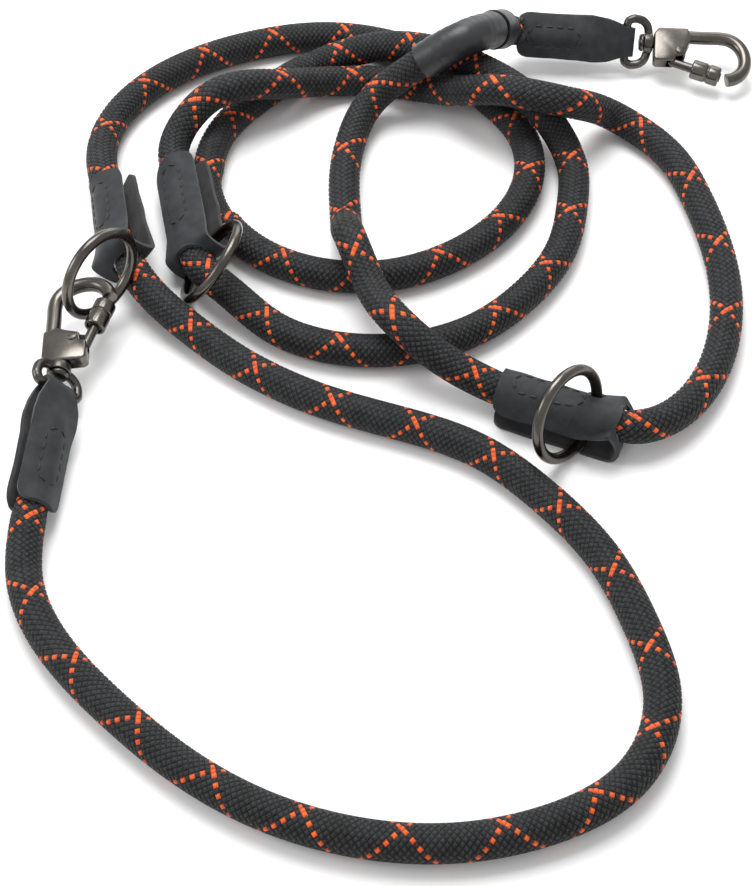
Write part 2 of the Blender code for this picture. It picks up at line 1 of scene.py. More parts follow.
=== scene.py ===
import math
import bmesh
import bpy
import numpy as np
from mathutils import Matrix, Vector, noise
from mathutils.bvhtree import BVHTree


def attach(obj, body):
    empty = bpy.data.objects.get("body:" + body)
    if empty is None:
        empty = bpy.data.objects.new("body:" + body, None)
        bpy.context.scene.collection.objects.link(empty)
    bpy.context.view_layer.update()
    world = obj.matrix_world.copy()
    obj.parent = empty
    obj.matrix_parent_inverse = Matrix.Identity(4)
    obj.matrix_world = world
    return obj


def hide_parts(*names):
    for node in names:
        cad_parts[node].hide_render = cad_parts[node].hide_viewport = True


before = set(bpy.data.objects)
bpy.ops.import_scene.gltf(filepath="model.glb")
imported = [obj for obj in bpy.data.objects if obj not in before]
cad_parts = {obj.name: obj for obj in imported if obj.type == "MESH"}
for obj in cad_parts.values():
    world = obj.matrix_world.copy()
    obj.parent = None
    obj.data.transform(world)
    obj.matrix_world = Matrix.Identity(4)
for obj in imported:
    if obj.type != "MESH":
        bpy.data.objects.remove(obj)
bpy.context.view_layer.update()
mm = 0.001

# camera: looks down at the leash from the handle side
camera = {"place": (-0.01355, -0.42825, 0.513), "tilt": 38.0, "lens": 89.43, "sensor": 36.0}


def addCamera():
    data = bpy.data.cameras.new("leashCamera")
    data.lens = camera["lens"]
    data.sensor_fit = "HORIZONTAL"
    data.sensor_width = camera["sensor"]
    data.clip_start = 0.02
    obj = bpy.data.objects.new("leashCamera", data)
    obj.location = camera["place"]
    obj.rotation_euler = (math.radians(camera["tilt"]), 0.0, 0.0)
    bpy.context.scene.collection.objects.link(obj)
    bpy.context.scene.camera = obj


addCamera()
print("camera placed")

# the rope's route in millimetres, first hook to second hook, as the hard parts were laid out
handle = [
    (-124.5, -34.4, 12), (-125.5, -45, 11), (-127.2, -65, 9.2), (-127, -88, 6), (-114, -116, 6),
    (-94, -138, 6), (-72, -157, 6), (-47, -172, 6), (-19, -181, 6), (10, -183, 6), (39, -177, 6),
    (64, -162, 6), (76, -136, 6), (72, -108, 6), (61, -80, 6), (44, -57, 6), (22, -37, 6), (-5, -25, 6),
    (-32, -15, 6), (-58, 0, 6), (-80, 18, 7.5),
]
coil = [
    (-100, 41, 9.3), (-108, 60, 10), (-112.5, 78, 10), (-118.5, 101, 8.5), (-117, 126, 6), (-104, 148, 6),
    (-84, 164, 6), (-61, 174, 6), (-35, 178.7, 6), (-10, 174.7, 6), (13, 162, 6), (30, 143, 6),
    (44, 121, 6), (46, 96, 6), (36, 73, 6), (17, 55, 6), (-6, 45, 6), (-32, 45, 6),
    (-54.5, 55, 6), (-71, 74, 6), (-77.5, 99, 6), (-72.5, 123, 6), (-57, 144, 6), (-38, 160.5, 6),
    (-15, 164, 12.5), (10, 156, 18), (31, 141, 20), (50, 124, 17), (62, 108, 6.5), (62, 82, 6),
    (56, 57, 6), (42, 35, 6), (23, 18, 6), (-1, 9, 6), (-26, 9, 6), (-50, 19, 6.5),
]
side = [
    (-66, 33, 9.5), (-78.5, 46, 12.3), (-81.8, 62.7, 12.7), (-86.2, 84.3, 12.7), (-90.5, 108, 12),
    (-76, 125, 21.8), (-52, 137, 17), (-30, 150, 7), (-4, 149.6, 6), (17, 136, 14.5), (36, 122, 27),
    (61, 117, 25.4), (80, 128, 9), (99, 112, 6), (109, 87, 6), (114, 61, 6), (115, 34, 6), (110, 8, 6),
    (98, -15, 7),
]
collarRun = [
    (77, -30, 10), (61, -29, 12), (45, -20.5, 9.5), (27, -10, 8.5), (9, -1, 13.5), (-6, 11, 19.5),
    (-15, 31, 16.2), (-22, 50, 20), (-24, 70, 7), (-25, 92, 6), (-23, 114, 6), (-15, 134, 10),
    (2, 141, 21.9), (21, 144, 33.7), (34, 157, 27.6), (45, 170.5, 15.5), (59, 169.4, 14), (70.5, 168.7, 13.6),
]
route = handle + coil + side + collarRun
middle = (1.55, -1.75)
rope = {
    "diameter": 12.0, "pinch": 0.79, "pinchReach": 15.0, "pinchEase": 7.0, "pinchStart": 0.3,
    "carriers": 14, "rise": 0.52, "floatWide": 0.24, "floatLong": 0.38,
}


def onTable(point):
    return Vector((point[0] - middle[0], point[1] - middle[1], point[2])) * mm


def frameOf(origin, along, normal):
    x = Vector(along).normalized()
    z = Vector(normal)
    z = (z - x * z.dot(x)).normalized()
    turn = Matrix((x, z.cross(x), z)).transposed().to_4x4()
    return Matrix.Translation(onTable(origin)) @ turn


bailReach = 9.6 * mm
endFrames = {
    "1": frameOf((-123, -16.5, 13.5), (4.5, 52, 4.5), (0.75, 0, 0.66)),
    "2": frameOf((88.5, 167.5, 13), (44, -3, -1.5), (0, -0.83, 0.56)),
}
swing = {"1": 7.0, "2": 0.0}
hookNormals = {"1": (-0.15, -0.1, 0.98), "2": (0, -0.25, 0.97)}
bailFrames = {}
hookFrames = {}
for tag, end in endFrames.items():
    onBail = end @ Matrix.Rotation(math.radians(swing[tag]), 4, "Y") @ Matrix.Translation((bailReach, 0, 0))
    turned = frameOf((*middle, 0), onBail.to_3x3() @ Vector((1, 0, 0)), hookNormals[tag])
    turned.translation = onBail.translation
    bailFrames[tag] = onBail
    hookFrames[tag] = turned
wrapFrames = {
    "1": frameOf((-104, 46, 10), (11, -46, 0), (-0.75, 0, 0.66)),
    "2": frameOf((-78.5, 46, 12.7), (11, -55, 0), (-0.66, 0, 0.75)),
    "3": frameOf((73, -30.5, 10.4), (44, -18, 0), (0, 0, 1)),
}
wrapLengths = {"1": 44.0, "2": 50.0, "3": 46.0}
endLengths = {"1": 48.0, "2": 44.0}


def insideWrap(point):
    best = 0.0
    pairs = [(endFrames[t], endLengths[t]) for t in "12"] + [(wrapFrames[t], wrapLengths[t]) for t in "123"]
    for matrix, length in pairs:
        local = matrix.inverted() @ Vector(point)
        if local.yz.length < rope["pinchReach"] * mm:
            depth = min(-local.x, local.x + length * mm)
            share = depth / (rope["pinchEase"] * mm) + rope["pinchStart"]
            best = max(best, min(max(share, 0.0), 1.0))
    return best


def smoothLine(points, count):
    pts = np.array([onTable(p) for p in points])
    knots = np.concatenate([[0.0], np.cumsum(np.linalg.norm(np.diff(pts, axis=0), axis=1))])
    gaps = np.diff(knots)
    size = len(pts)
    system = np.eye(size)
    right = np.zeros((size, 3))
    for i in range(1, size - 1):
        system[i, i - 1] = gaps[i - 1]
        system[i, i] = 2.0 * (gaps[i - 1] + gaps[i])
        system[i, i + 1] = gaps[i]
        right[i] = 6.0 * ((pts[i + 1] - pts[i]) / gaps[i] - (pts[i] - pts[i - 1]) / gaps[i - 1])
    bend = np.linalg.solve(system, right)
    where = np.linspace(0.0, knots[-1], count)
    i = np.clip(np.searchsorted(knots, where) - 1, 0, size - 2)
    a = (knots[i + 1] - where)[:, None]
    b = (where - knots[i])[:, None]
    h = gaps[i][:, None]
    line = (bend[i] * a**3 + bend[i + 1] * b**3) / (6.0 * h)
    line += (pts[i] / h - bend[i] * h / 6.0) * a + (pts[i + 1] / h - bend[i + 1] * h / 6.0) * b
    line[:, 2] = np.maximum(line[:, 2], rope["diameter"] * mm / 2.0)
    return line


ropeLine = smoothLine(route, 6000)
ropeRun = np.concatenate([[0.0], np.cumsum(np.linalg.norm(np.diff(ropeLine, axis=0), axis=1))])
heading = np.gradient(ropeLine, axis=0)
heading /= np.linalg.norm(heading, axis=1)[:, None]
upward = np.array([0.0, 0.0, 1.0]) - heading * heading[:, 2:3]
upward /= np.linalg.norm(upward, axis=1)[:, None]
sideways = np.cross(heading, upward)
squeeze = np.array([insideWrap(p) for p in ropeLine[::10]])
squeeze = np.interp(ropeRun, ropeRun[::10], squeeze)
print("rope length", round(float(ropeRun[-1]), 4))


def readRope(run):
    get = lambda table: np.stack([np.interp(run, ropeRun, table[:, k]) for k in range(3)], axis=-1)
    return get(ropeLine), get(upward), get(sideways), np.interp(run, ropeRun, squeeze)


# shared shader groups: each puts out values or normals that the materials below use
def newGroup(name, inputs, outputs):
    group = bpy.data.node_groups.new(name, "ShaderNodeTree")
    for label, kind, start in inputs:
        socket = group.interface.new_socket(label, in_out="INPUT", socket_type=kind)
        socket.default_value = start
    for label, kind in outputs:
        group.interface.new_socket(label, in_out="OUTPUT", socket_type=kind)
    return group, group.nodes.new("NodeGroupInput"), group.nodes.new("NodeGroupOutput")


def addNode(tree, kind, **settings):
    node = tree.nodes.new(kind)
    for key, value in settings.items():
        if key.startswith("in_"):
            node.inputs[key[3:].replace("_", " ")].default_value = value
        else:
            setattr(node, key, value)
    return node


def mathNode(tree, operation, a, b=None, c=None):
    node = tree.nodes.new("ShaderNodeMath")
    node.operation = operation
    for i, value in enumerate((a, b, c)):
        if value is None:
            continue
        if isinstance(value, (int, float)):
            node.inputs[i].default_value = value
        else:
            tree.links.new(value, node.inputs[i])
    return node.outputs[0]


def clampNode(tree, value):
    return mathNode(tree, "MINIMUM", mathNode(tree, "MAXIMUM", value, 0.0), 1.0)


def mixedMask(tree, first, firstShare, second, secondShare):
    return mathNode(tree, "MULTIPLY_ADD", first, firstShare, mathNode(tree, "MULTIPLY", second, secondShare))


def noiseNode(tree, vector, scale, detail=3.0, roughness=0.55):
    node = tree.nodes.new("ShaderNodeTexNoise")
    node.inputs["Detail"].default_value = detail
    node.inputs["Roughness"].default_value = roughness
    tree.links.new(vector, node.inputs["Vector"])
    if isinstance(scale, (int, float)):
        node.inputs["Scale"].default_value = scale
    else:
        tree.links.new(scale, node.inputs["Scale"])
    return node.outputs["Fac"]


def rampNode(tree, value, stops):
    node = tree.nodes.new("ShaderNodeValToRGB")
    ramp = node.color_ramp
    while len(ramp.elements) < len(stops):
        ramp.elements.new(0.5)
    for element, (place, colour) in zip(ramp.elements, stops):
        element.position = place
        element.color = (*colour, 1.0)
    tree.links.new(value, node.inputs["Fac"])
    return node.outputs["Color"]


def buildGrain():
    group, enter, leave = newGroup(
        "grain",
        [("Scale", "NodeSocketFloat", 900.0), ("Contrast", "NodeSocketFloat", 1.0)],
        [("Mask", "NodeSocketFloat"), ("Fine", "NodeSocketFloat")],
    )
    place = addNode(group, "ShaderNodeTexCoord").outputs["Object"]
    broad = noiseNode(group, place, mathNode(group, "MULTIPLY", enter.outputs["Scale"], 0.09), 2.0)
    fine = noiseNode(group, place, enter.outputs["Scale"], 4.0, 0.65)
    centred = mathNode(group, "SUBTRACT", broad, 0.5)
    spread = mathNode(group, "MULTIPLY_ADD", centred, enter.outputs["Contrast"], 0.5)
    group.links.new(spread, leave.inputs["Mask"])
    group.links.new(fine, leave.inputs["Fine"])
    return group


def buildEdgeWearAndHollowShade():
    group, enter, leave = newGroup(
        "edgeWearAndHollowShade",
        [("Sharpness", "NodeSocketFloat", 9.0), ("Scale", "NodeSocketFloat", 700.0)],
        [("Edge", "NodeSocketFloat"), ("Hollow", "NodeSocketFloat")],
    )
    place = addNode(group, "ShaderNodeTexCoord").outputs["Object"]
    bumpiness = addNode(group, "ShaderNodeNewGeometry").outputs["Pointiness"]
    raised = mathNode(group, "SUBTRACT", bumpiness, 0.5)
    lifted = mathNode(group, "MULTIPLY", raised, enter.outputs["Sharpness"])
    broken = noiseNode(group, place, enter.outputs["Scale"], 3.0)
    edge = clampNode(group, mathNode(group, "MULTIPLY", lifted, broken))
    # Hollow picks out concave hollows, which the metal darkens as painted shade; Edge picks out worn convex
    # edges
    hollow = clampNode(group, mathNode(group, "MULTIPLY", lifted, -1.0))
    group.links.new(edge, leave.inputs["Edge"])
    group.links.new(hollow, leave.inputs["Hollow"])
    return group


def buildYarn():
    # filaments that run along each carrier: the u of the braid's own map is across the carrier
    group, enter, leave = newGroup(
        "yarn",
        [("Strands", "NodeSocketFloat", 5.0)],
        [("Height", "NodeSocketFloat"), ("Fade", "NodeSocketFloat"), ("Edge", "NodeSocketFloat")],
    )
    uv = addNode(group, "ShaderNodeUVMap", uv_map="yarnMap").outputs["UV"]
    split = group.nodes.new("ShaderNodeSeparateXYZ")
    group.links.new(uv, split.inputs[0])
    turned = mathNode(group, "MULTIPLY", split.outputs["X"], enter.outputs["Strands"])
    wobble = noiseNode(group, uv, 3.0, 2.0)
    turns = mathNode(group, "MULTIPLY", mathNode(group, "ADD", turned, wobble), 6.2832)
    wave = mathNode(group, "SINE", turns)
    group.links.new(mathNode(group, "MULTIPLY_ADD", wave, 0.5, 0.5), leave.inputs["Height"])
    group.links.new(noiseNode(group, uv, 1.3, 2.0), leave.inputs["Fade"])
    # how near the side or the end of a float a point is, where the carrier dives under its neighbour
    sides = []
    for label in "XY":
        share = mathNode(group, "FRACT", mathNode(group, "ADD", split.outputs[label], 0.5))
        sides.append(mathNode(group, "ABSOLUTE", mathNode(group, "SUBTRACT", share, 0.5)))
    far = mathNode(group, "MAXIMUM", sides[0], sides[1])
    ramp = mathNode(group, "MULTIPLY", mathNode(group, "SUBTRACT", far, 0.28), 4.5)
    group.links.new(clampNode(group, ramp), leave.inputs["Edge"])
    return group


grain = buildGrain()
edgeWearAndHollowShade = buildEdgeWearAndHollowShade()
yarn = buildYarn()


def useGroup(tree, group, **values):
    node = tree.nodes.new("ShaderNodeGroup")
    node.node_tree = group
    for key, value in values.items():
        node.inputs[key].default_value = value
    return node


def newMaterial(name, metallic, roughness, sheen=0.0, sheenRoughness=0.5, specular=0.5):
    mat = bpy.data.materials.new(name)
    mat.use_nodes = True
    shader = mat.node_tree.nodes["Principled BSDF"]
    shader.inputs["Metallic"].default_value = metallic
    shader.inputs["Roughness"].default_value = roughness
    shader.inputs["Sheen Weight"].default_value = sheen
    shader.inputs["Sheen Roughness"].default_value = sheenRoughness
    shader.inputs["Specular IOR Level"].default_value = specular
    return mat, mat.node_tree, shader


def addBump(tree, shader, height, strength, distance):
    bump = tree.nodes.new("ShaderNodeBump")
    bump.inputs["Strength"].default_value = strength
    bump.inputs["Distance"].default_value = distance
    tree.links.new(height, bump.inputs["Height"])
    tree.links.new(bump.outputs["Normal"], shader.inputs["Normal"])


def yarnMaterial(name, dark, light, roughness, sheen, sink):
    mat, tree, shader = newMaterial(name, 0.0, roughness, sheen, 0.45, specular=0.32)
    fibres = useGroup(tree, yarn, Strands=3.0)
    soil = useGroup(tree, grain, Scale=2600.0, Contrast=1.2)
    # painted shade: the colour follows the fibre height, so it is darker in the grooves between filaments,
    # and it is darkened near the sides and ends of each float, where the carrier dives under its neighbour
    # (sink sets how much). The grain and the slow fade are the yarn's own uneven tone.
    mixed = mixedMask(tree, fibres.outputs["Height"], 0.35, soil.outputs["Mask"], 0.6)
    mixed = mathNode(tree, "MULTIPLY_ADD", fibres.outputs["Fade"], 0.3, mixed)
    mixed = mathNode(tree, "MULTIPLY_ADD", fibres.outputs["Edge"], -sink, mixed)
    tree.links.new(rampNode(tree, mixed, [(0.25, dark), (0.85, light)]), shader.inputs["Base Color"])
    rough = mathNode(tree, "MULTIPLY_ADD", soil.outputs["Fine"], 0.25, roughness - 0.12)
    tree.links.new(rough, shader.inputs["Roughness"])
    height = mathNode(tree, "MULTIPLY_ADD", soil.outputs["Fine"], 0.35, fibres.outputs["Height"])
    addBump(tree, shader, height, 0.8, 0.00012)
    return mat


braidBlack = yarnMaterial("braidBlack", (0.002, 0.0022, 0.0026), (0.030, 0.031, 0.034), 0.58, 0.03, 0.55)
braidOrange = yarnMaterial("braidOrange", (0.42, 0.045, 0.008), (0.98, 0.17, 0.03), 0.58, 0.03, 0.35)


def leatherMaterial(name, dark, light, roughness, raw=False):
    mat, tree, shader = newMaterial(name, 0.0, roughness, 0.05 if not raw else 0.15, 0.6, specular=0.3)
    soft = useGroup(tree, grain, Scale=2200.0 if not raw else 1500.0, Contrast=1.6)
    wearAndHollowShade = useGroup(tree, edgeWearAndHollowShade, Sharpness=5.0, Scale=900.0)
    mixed = mixedMask(tree, soft.outputs["Fine"], 0.35, soft.outputs["Mask"], 0.65)
    mixed = mathNode(tree, "MULTIPLY_ADD", wearAndHollowShade.outputs["Edge"], 0.5, mixed)
    tree.links.new(rampNode(tree, mixed, [(0.2, dark), (0.9, light)]), shader.inputs["Base Color"])
    rough = mathNode(tree, "MULTIPLY_ADD", soft.outputs["Fine"], 0.2, roughness - 0.1)
    tree.links.new(rough, shader.inputs["Roughness"])
    place = addNode(tree, "ShaderNodeTexCoord").outputs["Object"]
    cell = addNode(tree, "ShaderNodeTexVoronoi", in_Scale=1700.0)
    tree.links.new(place, cell.inputs["Vector"])
    height = mathNode(tree, "MULTIPLY_ADD", cell.outputs["Distance"], 0.5, soft.outputs["Fine"])
    addBump(tree, shader, height, 0.5 if raw else 0.28, 0.00012)
    return mat


leatherFace = leatherMaterial("leatherNubuck", (0.008, 0.0100, 0.0112), (0.028, 0.0325, 0.035), 0.7)
leatherRaw = leatherMaterial("leatherRawSide", (0.005, 0.005, 0.0055), (0.034, 0.035, 0.037), 0.95, raw=True)


def metalMaterial(name, dark, light, roughness, grainScale=700.0):
    mat, tree, shader = newMaterial(name, 1.0, roughness)
    film = useGroup(tree, grain, Scale=grainScale, Contrast=1.5)
    wearAndHollowShade = useGroup(tree, edgeWearAndHollowShade, Sharpness=12.0, Scale=900.0)
    tone = mixedMask(tree, film.outputs["Mask"], 0.6, film.outputs["Fine"], 0.15)
    tone = mathNode(tree, "MULTIPLY_ADD", wearAndHollowShade.outputs["Edge"], 0.6, tone)
    # painted shade: the metal's colour is darkened in its hollows
    tone = mathNode(tree, "MULTIPLY_ADD", wearAndHollowShade.outputs["Hollow"], -0.5, tone)
    tree.links.new(rampNode(tree, tone, [(0.15, dark), (0.95, light)]), shader.inputs["Base Color"])
    rough = mathNode(tree, "MULTIPLY_ADD", film.outputs["Fine"], 0.10, roughness - 0.05)
    tree.links.new(rough, shader.inputs["Roughness"])
    place = addNode(tree, "ShaderNodeTexCoord").outputs["Object"]
    addBump(tree, shader, noiseNode(tree, place, 260.0, 2.0), 0.12, 0.00004)
    return mat


gunmetal = metalMaterial("gunmetal", (0.060, 0.056, 0.051), (0.19, 0.175, 0.155), 0.25)
darkSteel = metalMaterial("darkSteel", (0.040, 0.039, 0.038), (0.15, 0.142, 0.13), 0.3)
springSteel = metalMaterial("springSteel", (0.35, 0.35, 0.35), (0.6, 0.6, 0.58), 0.28)


def plainMaterial(name, dark, light, roughness, scale, bump):
    mat, tree, shader = newMaterial(name, 0.0, roughness)
    spots = useGroup(tree, grain, Scale=scale, Contrast=1.4)
    mixed = mixedMask(tree, spots.outputs["Fine"], 0.4, spots.outputs["Mask"], 0.6)
    tree.links.new(rampNode(tree, mixed, [(0.2, dark), (0.85, light)]), shader.inputs["Base Color"])
    rough = mathNode(tree, "MULTIPLY_ADD", spots.outputs["Fine"], 0.2, roughness - 0.1)
    tree.links.new(rough, shader.inputs["Roughness"])
    addBump(tree, shader, spots.outputs["Fine"], bump, 0.0001)
    return mat


threadBlack = plainMaterial("threadBlack", (0.004, 0.004, 0.004), (0.018, 0.018, 0.018), 0.6, 4000.0, 0.3)
sleeveBlack = plainMaterial("sleeveBlack", (0.010, 0.0105, 0.012), (0.026, 0.027, 0.03), 0.42, 1500.0, 0.12)
print("materials built")


def newObject(name, mesh, mats, body):
    obj = bpy.data.objects.new(name, mesh)
    bpy.context.scene.collection.objects.link(obj)
    for mat in mats:
        mesh.materials.append(mat)
    mesh.polygons.foreach_set("use_smooth", [True] * len(mesh.polygons))
    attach(obj, body)
    return obj


def cleanMesh(mesh, gap=0.0):
    bm = bmesh.new()
    bm.from_mesh(mesh)
    if gap:
        bmesh.ops.remove_doubles(bm, verts=bm.verts, dist=gap)
    bmesh.ops.recalc_face_normals(bm, faces=bm.faces)
    bm.to_mesh(mesh)
    bm.free()


def addBevel(obj, width, angle, segments=2):
    edge = obj.modifiers.new("edge", "BEVEL")
    edge.width = width * mm
    edge.segments = segments
    edge.limit_method = "ANGLE"
    edge.angle_limit = math.radians(angle)


def noiseAt(x, y, z):
    return np.array([noise.noise(Vector(place)) for place in zip(x, y, z)])


# the braid: carriers going both ways, each float its own small pillow
def braid(name, low, high, pitch, crossing, twist):
    count = rope["carriers"]
    radius = rope["diameter"] * mm / 2.0
    lift = rope["rise"] * mm
    rowStep = pitch / (2.0 * count)
    first = int(math.ceil((low - crossing) / rowStep))
    last = int(math.floor((high - crossing) / rowStep))
    rows = np.arange(first - 1, last + 2)
    cornerIndex = {}
    turns, runs, depth = [], [], []

    def corner(u, v):
        key = (u % (2 * count), v)
        if key not in cornerIndex:
            cornerIndex[key] = len(turns)
            turns.append(u)
            runs.append(v)
            depth.append(-lift)
        return cornerIndex[key]

    faces, mats, maps = [], [], []
    for v in range(first, last + 1):
        for u in range(v % 2, 2 * count, 2):
            a = (u - v) / 2.0
            b = (u + v) / 2.0
            right, top, left, bottom = corner(u + 1, v), corner(u, v + 1), corner(u - 1, v), corner(u, v - 1)
            overZ = int(a + b) % 2 == 1
            tracer = (int(a) if overZ else int(b)) % count == 0
            longA, longB = rope["floatWide"], rope["floatLong"]
            if not overZ:
                longA, longB = longB, longA
            inner = []
            for da, db, height in ((1, 1, 0.0), (-1, 1, 0.0), (-1, -1, 0.0), (1, -1, 0.0)):
                inner.append(len(turns))
                turns.append(a + b + da * longA + db * longB)
                runs.append(b - a + db * longB - da * longA)
                depth.append(height)
            # corners in the order right (a+b+), top (a-b+), left, bottom
            outer = [right, top, left, bottom]
            slot = 1 if tracer else 0
            across = [(0.5, 0.5), (-0.5, 0.5), (-0.5, -0.5), (0.5, -0.5)]
            within = [(longA, longB), (-longA, longB), (-longA, -longB), (longA, -longB)]

            def mapPoint(pair, overZ=overZ, a=a, b=b):
                x, y = pair if overZ else (pair[1], pair[0])
                return (x + 3.0 * (a if overZ else b), y + (b if overZ else a))

            faces.append(tuple(inner))
            mats.append(slot)
            maps.extend(mapPoint(p) for p in within)
            for k in range(4):
                n = (k + 1) % 4
                faces.append((outer[k], outer[n], inner[n], inner[k]))
                mats.append(slot)
                maps.extend(mapPoint(p) for p in (across[k], across[n], within[n], within[k]))
    turns = np.array(turns, float)
    runs = np.array(runs, float) * rowStep + crossing
    depth = np.array(depth, float)
    angle = math.radians(twist) + math.pi * turns / count
    place, up, across, pinch = readRope(np.clip(runs, 0.0, ropeRun[-1]))
    reach = (radius * (1.0 - (1.0 - rope["pinch"]) * pinch) + depth)[:, None]
    verts = place + reach * (up * np.cos(angle)[:, None] + across * np.sin(angle)[:, None])
    verts = [tuple(p) for p in verts]
    for edge, order in ((first, 1), (last, -1)):
        rim = []
        for u in range(0, 2 * count):
            v = edge if (u + edge) % 2 == 1 else edge - order
            key = (u % (2 * count), v)
            if key in cornerIndex:
                rim.append(cornerIndex[key])
        hub = len(verts)
        centre = np.array([verts[i] for i in rim]).mean(axis=0)
        verts.append(tuple(centre))
        for k in range(len(rim)):
            pair = (rim[k], rim[(k + 1) % len(rim)])
            faces.append((hub, pair[1], pair[0]) if order == 1 else (hub, pair[0], pair[1]))
            mats.append(0)
            maps.extend([(0.0, 0.0)] * 3)
    mesh = bpy.data.meshes.new(name)
    mesh.from_pydata(verts, [], faces)
    obj = newObject(name, mesh, [braidBlack, braidOrange], "rope")
    mesh.polygons.foreach_set("material_index", mats)
    layer = mesh.uv_layers.new(name="yarnMap")
    layer.data.foreach_set("uv", np.array(maps, dtype=np.float32).ravel())
    cleanMesh(mesh)
    return obj


stretches = {
    "ropeHandle": {"low": 0.0, "high": 0.617, "pitch": 0.0304, "crossing": 0.0345, "twist": -20.0},
    "ropeCoil": {"low": 0.617, "high": 1.518, "pitch": 0.0298, "crossing": 0.6370, "twist": 5.0},
    "ropeSide": {"low": 1.518, "high": 1.985, "pitch": 0.0350, "crossing": 1.6600, "twist": 5.0},
    "ropeCollar": {"low": 1.985, "high": 2.3155, "pitch": 0.0350, "crossing": 2.0340, "twist": -18.0},
}
for name, fit in stretches.items():
    braid(name, fit["low"], fit["high"], fit["pitch"], fit["crossing"], fit["twist"])
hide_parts("rope_cover", "rope_core")
print("rope braided")

# leather strips folded round the rings and the bails
leather = {
    "thick": 1.6, "gap": 0.14, "rows": 150, "columns": 32,
    # the radius that its sides bend to over the rope, and how many degrees they lean
    "bend": 7.2, "lean": 34.0,
    "corner": 5.0, "rounding": 0.9, "edge": 0.28,
    # the seam's crease, and the hide's slow and fine swells
    "crease": 0.28, "creaseWidth": 1.1, "swell": 0.45, "fineSwell": 0.10, "sideSwell": 0.35,
    # rounds of easing with pushing off, then rounds of pushing off alone
    "easing": 0.35, "easeRounds": 11, "pushRounds": 3,
    "restOnRope": 6.3, "restOnTable": 9.6, "foldReach": 0.45,
    "barFold": 2.85, "barWire": 1.75, "barHalf": 8.5,
    "holeReach": 5.0, "holeFrom": -9.0, "thinnest": 0.25, "ringRoom": 0.4,
}
ringPlaces = {
    "1": ((-110.4, 26.7, 25.7), (0.774, -0.633, 0.023)),
    "2": ((-72.6, 42.0, 15.7), (-0.784, 0.195, 0.589)),
    "3": ((52.3, -30.7, 17.6), (0.729, -0.638, 0.249)),
}
ringSize = {
    "major": 16.0, "wire": 2.0,
    "weldAt": 2.2, "weldWidth": 0.035, "weldRise": 0.035, "groove": 0.8, "grooveWidth": 0.012,
}


def ringFrame(tag):
    centre, normal = ringPlaces[tag]
    z = Vector(normal).normalized()
    x = Vector((z.y, -z.x, 0)).normalized()
    turn = Matrix((x, z.cross(x), z)).transposed().to_4x4()
    return Matrix.Translation(onTable(centre)) @ turn


def pickOnly(obj):
    bpy.ops.object.select_all(action="DESELECT")
    bpy.context.view_layer.objects.active = obj
    obj.select_set(True)


def applyModifiers(obj):
    pickOnly(obj)
    for modifier in list(obj.modifiers):
        bpy.ops.object.modifier_apply(modifier=modifier.name)


def ringWrapPath(length, above, below, flatBelow):
    radius = (above + below) / 2.0
    centre = (above - below) / 2.0
    topEnd = leather["restOnRope"]
    lowEnd = -leather["restOnTable"] if flatBelow else -leather["restOnRope"]
    reach = radius * leather["foldReach"]
    straight = length - reach
    shares = np.linspace(0, 1, 20)
    points = [(-length + t * straight, topEnd + (above - topEnd) * t) for t in shares]
    for angle in np.linspace(math.pi / 2, -math.pi / 2, 24)[1:-1]:
        points.append((reach * (math.cos(angle) - 1.0), centre + radius * math.sin(angle)))
    points += [(-length + t * straight, lowEnd + (-below - lowEnd) * t) for t in shares[::-1]]
    return points


def endWrapPath(length):
    bar = leather["barFold"]
    flat = leather["restOnRope"]
    side = [(-length, flat), (-length + 5, flat), (-30, flat), (-20, flat), (-13, 5.6), (-7, 4.0), (-3, 3.1)]
    points = list(side)
    for angle in np.linspace(math.pi / 2, -math.pi / 2, 13):
        points.append((bar * math.cos(angle), bar * math.sin(angle)))
    return points + [(x, -z) for x, z in reversed(side)]


def sampled(points, count):
    pts = np.array(points, float)
    run = np.concatenate([[0.0], np.cumsum(np.linalg.norm(np.diff(pts, axis=0), axis=1))])
    where = np.linspace(0.0, run[-1], count)
    line = np.stack([np.interp(where, run, pts[:, k]) for k in range(2)], axis=-1)
    for _ in range(6):
        line[1:-1] = 0.25 * line[:-2] + 0.5 * line[1:-1] + 0.25 * line[2:]
    return where, line


def pushOff(verts, targets, needs):
    # move each point straight out until it keeps its distance from the nearest of the targets
    move = np.zeros_like(verts)
    for line, need in zip(targets, needs):
        near = np.abs(verts[:, None, :] - line[None, :, :]).sum(axis=2).argmin(axis=1)
        apart = verts - line[near]
        distance = np.linalg.norm(apart, axis=1)
        short = need[near] - distance if hasattr(need, "__len__") else need - distance
        mask = short > 0.0
        move[mask] += apart[mask] / np.maximum(distance[mask], 1e-6)[:, None] * short[mask][:, None]
    return verts + move


